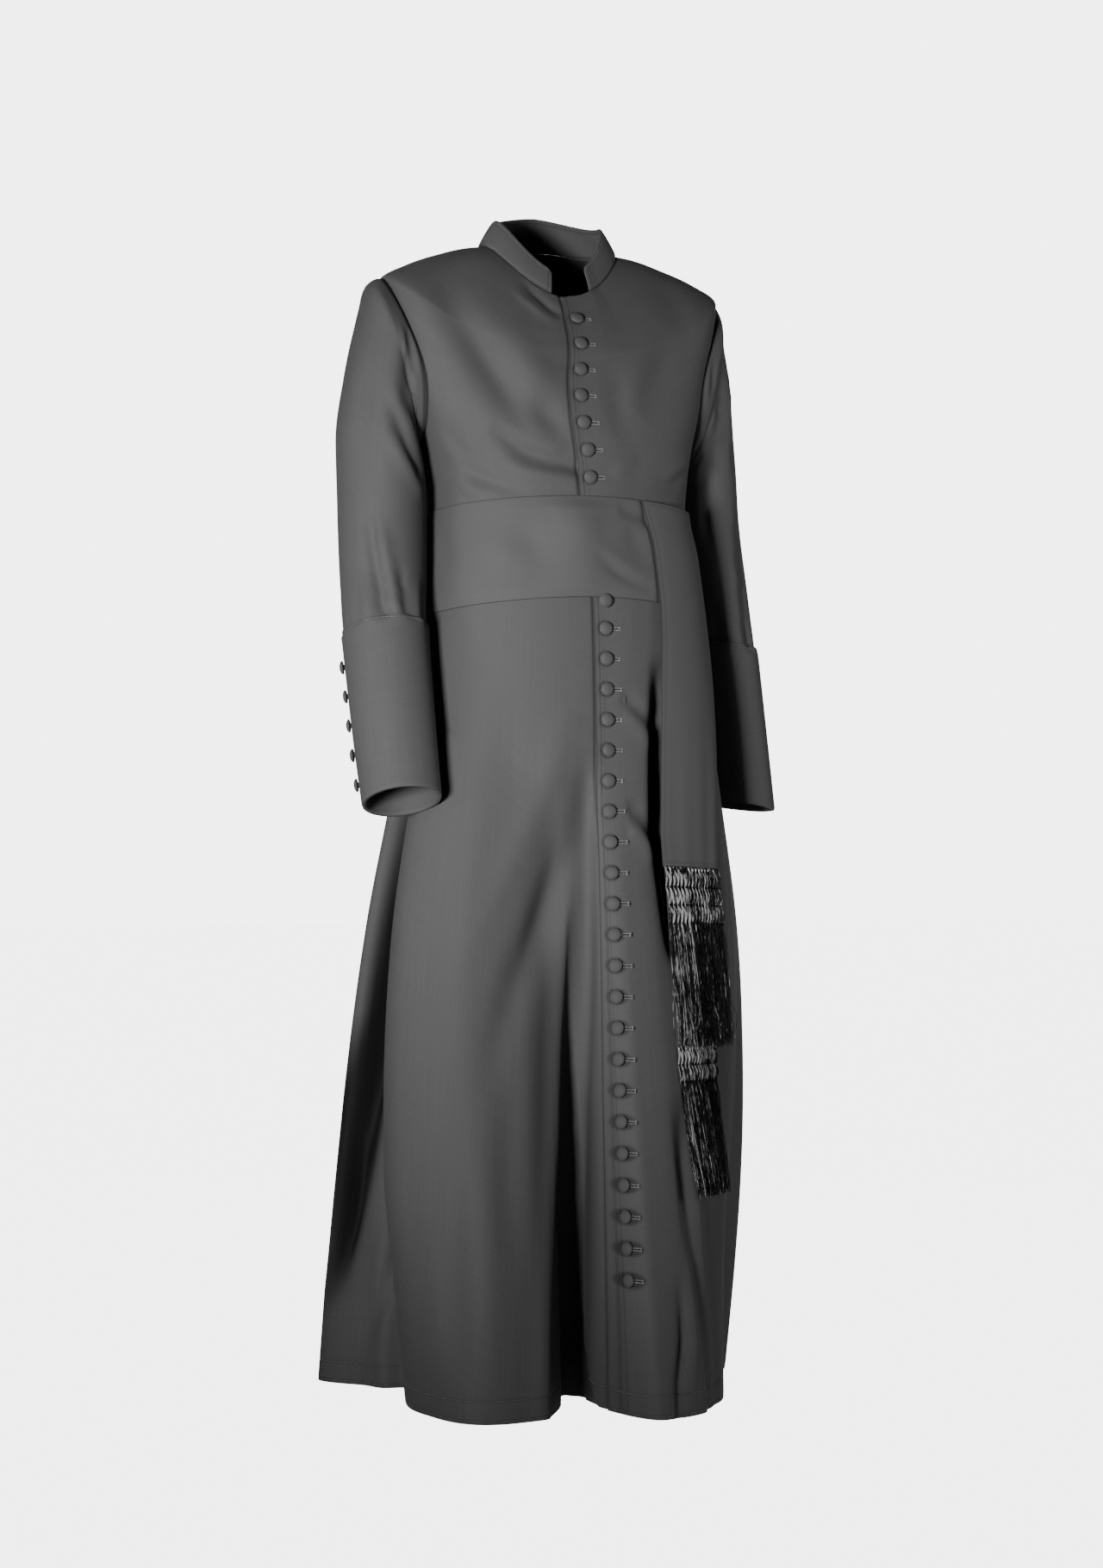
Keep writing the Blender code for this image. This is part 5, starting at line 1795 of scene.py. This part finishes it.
@dataclass(frozen=True)
class Fringe:
    """A fall's fringe: bunches of shiny thread that part and meet again in rows of knots, then hang free."""

    fall: Fall
    finish: bpy.types.Material
    bunches: int = 17
    threads: int = 11
    thread_radius: float = 0.00025

    def knot_spots(self, bunch: int, half: int) -> list[float]:
        """Where across the fall half of a bunch passes each row of knots."""
        shifts = [half * (row % 2) for row in range(len(self.fall.knot_rows))]
        spots = [(bunch + 0.5 + 0.5 * shift) / self.bunches for shift in shifts]
        return [spots[0], *np.clip(spots[1:], 0.01, 0.99)]

    def in_lattice(self, spots: list[float], half: int, behind: bool, side: float, out: float) -> list[tuple]:
        """A thread's way from knot to knot.

        Args:
            spots: Where it passes each row of knots.
            half: The half of its bunch, -1 or 1.
            behind: Whether it is one of the dark threads behind the others.
            side: How far to one side of its bunch it lies.
            out: How far out it lies.

        Returns:
            Its (depth, share, height) places.
        """
        cell = 1 / self.bunches
        aside = side * (0.45 if behind else 0.05) * cell
        path = [(0.0, spots[0] + side * 0.08 * cell, 0.0008)]
        places = list(zip(self.fall.knot_rows, spots))
        for (depth, spot), (next_depth, next_spot) in zip(places, [*places[1:], places[-1]]):
            path.append((depth, spot + aside, 0.0004 if behind else 0.0016 + out * 0.0003))
            for t in (0.25, 0.5, 0.75) if next_depth > depth else ():
                puff = math.sin(math.pi * t)
                bow = aside + (side * 0.06 + half * 0.12) * cell * puff
                height = 0.0005 if behind else 0.0016 + (0.0026 + out * 0.0005) * puff
                path.append((depth + (next_depth - depth) * t, spot + (next_spot - spot) * t + bow, height))
        return path

    def hanging(self, rng: np.random.Generator, last: float, out: float) -> list[tuple]:
        """A thread's way down from its last knot.

        Args:
            rng: The fringe's random draws.
            last: Where it passes the last row of knots.
            out: How far out it lies.

        Returns:
            Its (depth, share, height) places.
        """
        cell = 1 / self.bunches
        reach = self.fall.length * (1 - abs(rng.normal(0, 0.04)))
        spread = rng.normal(0, 0.55) * cell + (last - 0.5) * 0.05
        sway = rng.normal(0, 0.45) * cell
        phase = rng.random() * 6.3
        stray = 1.0 if rng.random() < 0.05 else 0.0
        depth = self.fall.knot_rows[-1]
        path = []
        for t in np.linspace(0.12, 1, 9):
            wander = spread * t**0.7 + sway * math.sin(phase + 4.5 * t) * t + self.fall.lean * t**1.4
            wander += stray * rng.normal(0.3, 1.3) * cell * t**2
            height = 0.0024 + 0.0014 * out + stray * 0.004 * t + 0.0018 * math.sin(phase + 3 * t) * t
            path.append((depth + (reach - depth) * t, last + wander, max(height, 0.0006)))
        return path

    def thread_paths(self) -> Iterable[tuple[Grid, float, float]]:
        """Each thread's path as (depth, share, height) rows, its painted light and what the lattice adds to that."""
        rng = np.random.default_rng(self.fall.seed)
        for bunch in range(self.bunches):
            for half in (-1, 1):
                spots = self.knot_spots(bunch, half)
                for thread in range(self.threads):
                    behind = thread % 3 == 0
                    # Painted light: threads towards the fall's front edge get more highlights.
                    tone = rng.random() * 0.9 + 0.46 * (0.52 - spots[0])
                    side, out = rng.normal(0, 1), rng.normal(0, 1)
                    path = self.in_lattice(spots, half, behind, side, out) + self.hanging(rng, spots[-1], out)
                    # Lattice threads in front get extra painted light; the ones behind get none and stand in for the
                    # shade between the cords.
                    yield np.array(path), tone, 0.0 if behind else 0.2 * tone + 0.48 * (1 - tone)

    def strands(self, name: str) -> bpy.types.Mesh:
        """All the threads as one mesh."""
        verts, edges, painted_light_tones, lengths = [], [], [], []
        for path, tone, painted_lattice_light in self.thread_paths():
            dense, knots = np.linspace(0, len(path) - 1, 2 * len(path) - 1), np.arange(len(path))
            depth, share, height = (smooth_through(dense, knots, path[:, i]) for i in range(3))
            points, normals = self.fall.places(self.fall.rows[-1].drop + GAP + depth, share)
            points = points + normals * height[:, None]
            edges += [(i, i + 1) for i in range(len(verts), len(verts) + len(points) - 1)]
            verts += points.tolist()
            in_lattice = depth < self.fall.knot_rows[-1]
            # In the lattice the painted light of the front threads is raised and the threads behind stay dark.
            painted_light_tones += np.where(in_lattice, tone * 0.8 * (painted_lattice_light > 0) + painted_lattice_light, tone * 0.8).tolist()
            lengths += run_along(points[None])[0].tolist()
        lines = bpy.data.meshes.new(name + "_lines")
        lines.from_pydata(verts, edges, [])
        set_mark(lines, "strand", painted_light_tones)
        set_mark(lines, "along", lengths)
        return Strands().run(name, lines, Radius=self.thread_radius, Finish=self.finish)

    def add_knots(self, name: str, repeats: Repeats) -> None:
        """Adds the knots in their rows, as wrapped beads."""
        bead = lathe("knot", [(0.0, 0.5), (0.42, 0.36), (0.5, 0.0), (0.42, -0.36), (0.0, -0.5)], 7)
        set_mark(bead, "strand", [0.30] * len(bead.vertices))
        depths, shares = [], []
        for row, depth in enumerate(self.fall.knot_rows):
            spots = (np.arange(self.bunches + row % 2) + 0.5 * (1 - row % 2)) / self.bunches
            depths += [depth] * len(spots)
            shares += list(np.clip(spots, 0.01, 0.99))
        depths, shares = np.array(depths), np.array(shares)
        top = self.fall.rows[-1].drop + GAP
        points, normals = self.fall.places(top + depths, shares)
        down = unit(self.fall.places(top + depths + 0.002, shares)[0] - points)
        frames, places = frames_from(down, np.cross(normals, down)), points + normals * 0.0026
        named = {"slot": "silk", "stretch": (0.0019, 0.0021, 0.0030), "uneven": 0.2, "seed": self.fall.seed}
        made = repeats.add(name, bead, places, frames, self.finish, **named)
        # The top row of knots gets more painted light than the rest.
        painted_light_tones = np.repeat(np.where(depths == self.fall.knot_rows[0], 0.75, 0.52), len(bead.vertices))
        made.attributes["strand"].data.foreach_set("value", painted_light_tones)


@dataclass(frozen=True)
class Lamp:
    """A square soft light, placed round the garment: azimuth 0 is straight in front and + is the wearer's left."""

    name: str
    azimuth: float
    distance: float
    height: float
    target: tuple[float, float, float]
    size: float
    power: float
    spread: float


@dataclass(frozen=True)
class Studio:
    """The floor, the light and the camera."""

    distance: float = 3.5
    azimuth: float = -20.0
    eye_height: float = -0.725
    lens: float = 67.5
    sensor: float = 36.0
    horizon_shift: float = 0.0495
    floor_height: float = -1.465
    floor_size: float = 60.0
    ambient: float = 0.018
    backdrop: float = 5.0
    lamps: tuple[Lamp, ...] = (
        Lamp("key", -40.0, 3.1, -0.72, (-0.02, 0.0, -0.50), 0.55, 7.4, 42.0),
        Lamp("fill", 74.0, 3.2, -0.20, (0.2, 0.0, -0.35), 1.4, 5.2, 70.0),
        Lamp("side", -84.0, 3.0, -0.10, (0.0, 0.0, -0.12), 0.9, 0.9, 34.0),
        Lamp("low", -52.0, 3.0, -1.25, (-0.03, -0.06, 0.075), 0.25, 0.13, 10.0),
        Lamp("behind", 158.0, 3.4, 0.10, (0.0, 0.0, -0.70), 2.4, 26.0, 120.0),
    )

    def aim(self, made: bpy.types.Object, round_it: tuple[float, float, float], target: tuple) -> None:
        """Puts a light or the camera at an azimuth, distance and height, turned to its target."""
        azimuth, distance, height = round_it
        turn = math.radians(azimuth)
        made.location = (math.sin(turn) * distance, -math.cos(turn) * distance, height)
        made.rotation_mode = "QUATERNION"
        made.rotation_quaternion = (Vector(target) - made.location).to_track_quat("-Z", "Y")

    def camera(self) -> None:
        """A level camera at the photograph's place."""
        data = bpy.data.cameras.new("camera")
        set_all(data, lens=self.lens, sensor_width=self.sensor, shift_y=self.horizon_shift)
        made = put_in_scene("camera", data)
        self.aim(made, (self.azimuth, self.distance, self.eye_height), (0, 0, self.eye_height))
        bpy.context.scene.camera = made

    def light(self, lamp: Lamp) -> None:
        """One light, turned to its target; its spread is in degrees."""
        data = bpy.data.lights.new(lamp.name, "AREA")
        set_all(data, shape="SQUARE", size=lamp.size, energy=lamp.power, spread=math.radians(lamp.spread))
        made = put_in_scene(lamp.name, data)
        self.aim(made, (lamp.azimuth, lamp.distance, lamp.height), lamp.target)

    def world(self) -> None:
        """Soft light from all round, and a pale tone behind."""
        world = bpy.data.worlds.new("studio")
        world.use_nodes = True
        bench = Bench(world.node_tree)
        background = world.node_tree.nodes["Background"]
        background.inputs["Color"].default_value = grey(1.0)
        background.inputs["Strength"].default_value = self.ambient
        seen = bench.node("ShaderNodeBackground", {}, Color=grey(1.0), Strength=self.backdrop)
        camera = bench.node("ShaderNodeLightPath", {}, output="Is Camera Ray")
        mix = bench.node("ShaderNodeMixShader", {}, camera, Ply(bench, background.outputs[0]), seen)
        bench.feed(world.node_tree.nodes["World Output"].inputs[0], mix)
        bpy.context.scene.world = world

    def floor(self) -> None:
        """A wide pale floor."""
        half = self.floor_size / 2
        mesh = bpy.data.meshes.new("floor")
        places = [(x, y, self.floor_height) for x, y in ((-half, -half), (half, -half), (half, half), (-half, half))]
        mesh.from_pydata(places, [], [(0, 1, 2, 3)])
        mesh.materials.append(StudioFloor().material())
        put_in_scene("floor", mesh)

    def build(self) -> None:
        """Makes all of it."""
        self.camera()
        self.floor()
        self.world()
        for lamp in self.lamps:
            self.light(lamp)


@dataclass
class Cassock:
    """The whole garment; each cloth is kept by the name of the node that it replaces."""

    wardrobe: Wardrobe
    wool: bpy.types.Material
    sash_wool: bpy.types.Material
    silk: bpy.types.Material
    thread: bpy.types.Material
    edge_thread: bpy.types.Material
    # the buttonhole slits' painted shadow
    gap: bpy.types.Material
    repeats: Repeats
    cloths: dict[str, Cloth] = field(default_factory=dict)

    def build(self) -> None:
        """Makes every piece, from the body outwards."""
        self.make_panels()
        self.make_sleeves()
        self.dress("collar", Collar().cloth())
        self.make_sash()
        buttons = Buttons(self.repeats, self.wool, self.thread, self.gap)
        self.set_front_buttons(buttons)
        self.set_cuff_buttons(buttons)
        self.sew_edges()

    def dress(self, name: str, cloth: Cloth, of_sash: bool = False) -> None:
        """Puts one sheet of cloth in the scene.

        Args:
            name: The node that it replaces.
            cloth: The sheet.
            of_sash: Whether it is cut from the sash's wool.
        """
        finish, slot = (self.sash_wool, "sash_wool") if of_sash else (self.wool, "wool")
        self.wardrobe.add(name + "_cloth", cloth.mesh(name + "_cloth"), finish, slot, name)
        self.cloths[name] = cloth

    def make_panels(self) -> None:
        """The two fronts and the two backs."""
        behind = {Side.RIGHT: mirrored(BACK_CREASES) + RECESS_CREASES, Side.LEFT: BACK_CREASES}
        for side, lines in ((Side.RIGHT, FRONT_RIGHT_CREASES), (Side.LEFT, FRONT_LEFT_CREASES)):
            self.dress("front_" + side.word, Panel(side, True, lines).cloth())
            self.dress("back_" + side.word, Panel(side, False, behind[side]).cloth())

    def make_sleeves(self) -> None:
        """The sleeves and their cuffs."""
        for side, lines in ((Side.RIGHT, RIGHT_SLEEVE_CREASES), (Side.LEFT, LEFT_SLEEVE_CREASES)):
            front, back = self.cloths["front_" + side.word], self.cloths["back_" + side.word]
            sleeve = Sleeve(side, front, back, lines)
            self.dress("sleeve_" + side.word, sleeve.cloth())
            self.dress("cuff_" + side.word, sleeve.cuff())

    def make_sash(self) -> None:
        """The band, the falls and their fringes."""
        self.dress("sash_band", Band().cloth(), of_sash=True)
        for fall in FALLS:
            self.dress("sash_fall_" + fall.word, fall.cloth(), of_sash=True)
            name, fringe = "fringe_" + fall.word, Fringe(fall, self.silk)
            self.wardrobe.add(name + "_threads", fringe.strands(name + "_threads"), self.silk, "silk", name)
            fringe.add_knots(name + "_knots", self.repeats)

    def set_front_buttons(self, buttons: Buttons) -> None:
        """The buttons down the front and their buttonholes."""
        points, normals = self.cloths["front_left"].line(slice(None))
        share = np.interp(EDGE_OVERLAP, LEFT_EDGE, np.arange(len(LEFT_EDGE)))
        low = int(share)
        t = share - low
        line = points[:, low] * (1 - t) + points[:, low + 1] * t
        across = unit(points[:, low + 2] - points[:, low])
        depth = -line[:, 2]

        def at(depths: Grid) -> tuple[Grid, Grid, Grid]:
            """The line's places, normals and directions across at these depths."""
            return tuple(between_rows(depths, depth, table) for table in (line, normals[:, low], across))

        sash_depth = depth[nearest(ROW_DROPS, BAND_BOTTOM)] + 0.004
        sets = (
            ("buttons_chest", CHEST, [f"button_chest_{i + 1}" for i in range(len(CHEST))], 0.0),
            ("button_at_sash", np.array([sash_depth]), ["button_sash"], SASH_CLOTH + GAP),
            ("buttons_skirt", SKIRT, [f"button_skirt_{i + 1:02d}" for i in range(len(SKIRT))], 0.0),
        )
        for seed, (name, depths, nodes, lift) in enumerate(sets):
            spots, outs, sides = at(depths)
            buttons.set_on(name, (spots + outs * lift, outs, sides), nodes, seed + 20)
        buttons.holes("buttonholes", at(np.concatenate([CHEST, SKIRT])))

    def set_cuff_buttons(self, buttons: Buttons) -> None:
        """The buttons sewn on the cuffs, in a line a sixteenth of the way round from the outer side."""
        for side in (Side.RIGHT, Side.LEFT):
            cuff = self.cloths["cuff_" + side.word]
            points, normals = cuff.line((slice(None), round(cuff.outer.shape[1] * (1 - 1 / 16))))
            reach = run_along(points[None])[0]
            spots, outs = between_rows(CUFF, reach, points), unit(between_rows(CUFF, reach, normals))
            nodes = [f"button_cuff_{side.word}_{i + 1}" for i in range(len(CUFF))]
            line = (spots, outs, np.broadcast_to([0, 0, 1.0], outs.shape))
            buttons.set_on("buttons_cuff_" + side.word, line, nodes, 31)

    def sew_edges(self) -> None:
        """The rows of stitching along the front edge, the hems, the collar and the cuffs."""
        sewing = Sewing(self.repeats)
        edge = self.cloths["front_left"].line((slice(3, None), nearest(LEFT_EDGE, STITCH_INSET)))
        sewing.sew("stitches_front", [edge], self.edge_thread)
        hem_rows = [nearest(ROW_DROPS, HEM_DROP - inset) for inset in HEM_INSETS]
        panels = ("front_right", "back_right", "front_left", "back_left")
        hems = [self.cloths[name].line(row) for name in panels for row in hem_rows]
        sewing.sew("stitches_hem", hems, self.thread)
        sewing.sew("stitches_collar", [self.cloths["collar"].line(nearest(COLLAR_EDGE, COLLAR_STITCH))], self.thread)
        cuffs = []
        for name in ("cuff_right", "cuff_left"):
            ring = self.cloths[name].line(nearest(CUFF_EDGE, CUFF_STITCH))
            cuffs.append(tuple(np.concatenate([row, row[:1]]) for row in ring))
        sewing.sew("stitches_cuffs", cuffs, self.thread)


def declare_sheets(pieces: dict[str, bpy.types.Object]) -> None:
    """Looks up each sheet of cloth and what it lies on, and keeps nothing."""
    sheets = (
        ("front_right", (0.67, 1.50), Hold.HUNG, "front_left", 0.52),
        ("front_left", (0.45, 1.50), Hold.HUNG, "front_right", 0.42),
        ("back_right", (0.51, 1.49), Hold.HUNG, "front_right", 0.44),
        ("back_left", (0.51, 1.49), Hold.HUNG, "front_left", 0.44),
        ("sleeve_right", (0.51, 0.64), Hold.HUNG, "front_right", 0.18),
        ("sleeve_left", (0.50, 0.63), Hold.HUNG, "front_left", 0.165),
        ("cuff_right", (0.33, 0.21), Hold.STRETCHED, "sleeve_right", 0.064),
        ("cuff_left", (0.33, 0.20), Hold.STRETCHED, "sleeve_left", 0.060),
        ("collar", (0.466, 0.042), Hold.STRETCHED, "front_left", 0.015),
        ("sash_band", (0.96, 0.124), Hold.STRETCHED, "front_left", None),
        ("sash_fall_front", (0.11, 0.43), Hold.HUNG, "sash_band", None),
        ("sash_fall_back", (0.108, 0.63), Hold.HUNG, "sash_band", None),
    )
    for name, flat, hold, under, area in sheets:
        piece, rests_on = pieces[name + "_cloth"], [under + "_cloth"]
        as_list(rests_on)


def main() -> None:
    """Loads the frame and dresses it."""
    logging.basicConfig(level=logging.INFO, format="%(name)s: %(message)s")
    for obj in list(bpy.data.objects):
        bpy.data.objects.remove(obj)
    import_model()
    Studio().build()
    collection = bpy.data.collections.new("cassock")
    bpy.context.scene.collection.children.link(collection)
    wardrobe = Wardrobe(collection)
    garment = Cassock(
        wardrobe,
        WovenWool("wool_twill").material(),
        WovenWool("sash_weave", tone=0.092, pitch=0.0009, rib=0.16, steep=0.0, streaks=0.14).material(),
        # Dark silk whose light tone is its painted highlight.
        TwistedThread("fringe_thread", dark=0.0015, light=0.66, share=0.25, roughness=0.34).material(),
        SewingThread("sewing_thread", 0.32).material(),
        SewingThread("edge_thread", 0.15).material(),
        # The buttonhole slits' painted shadow.
        SewingThread("slit_dark", 0.008).material(),
        Repeats(wardrobe),
    )
    garment.build()
    declare_sheets(wardrobe.pieces)


if __name__ == "__main__":
    main()
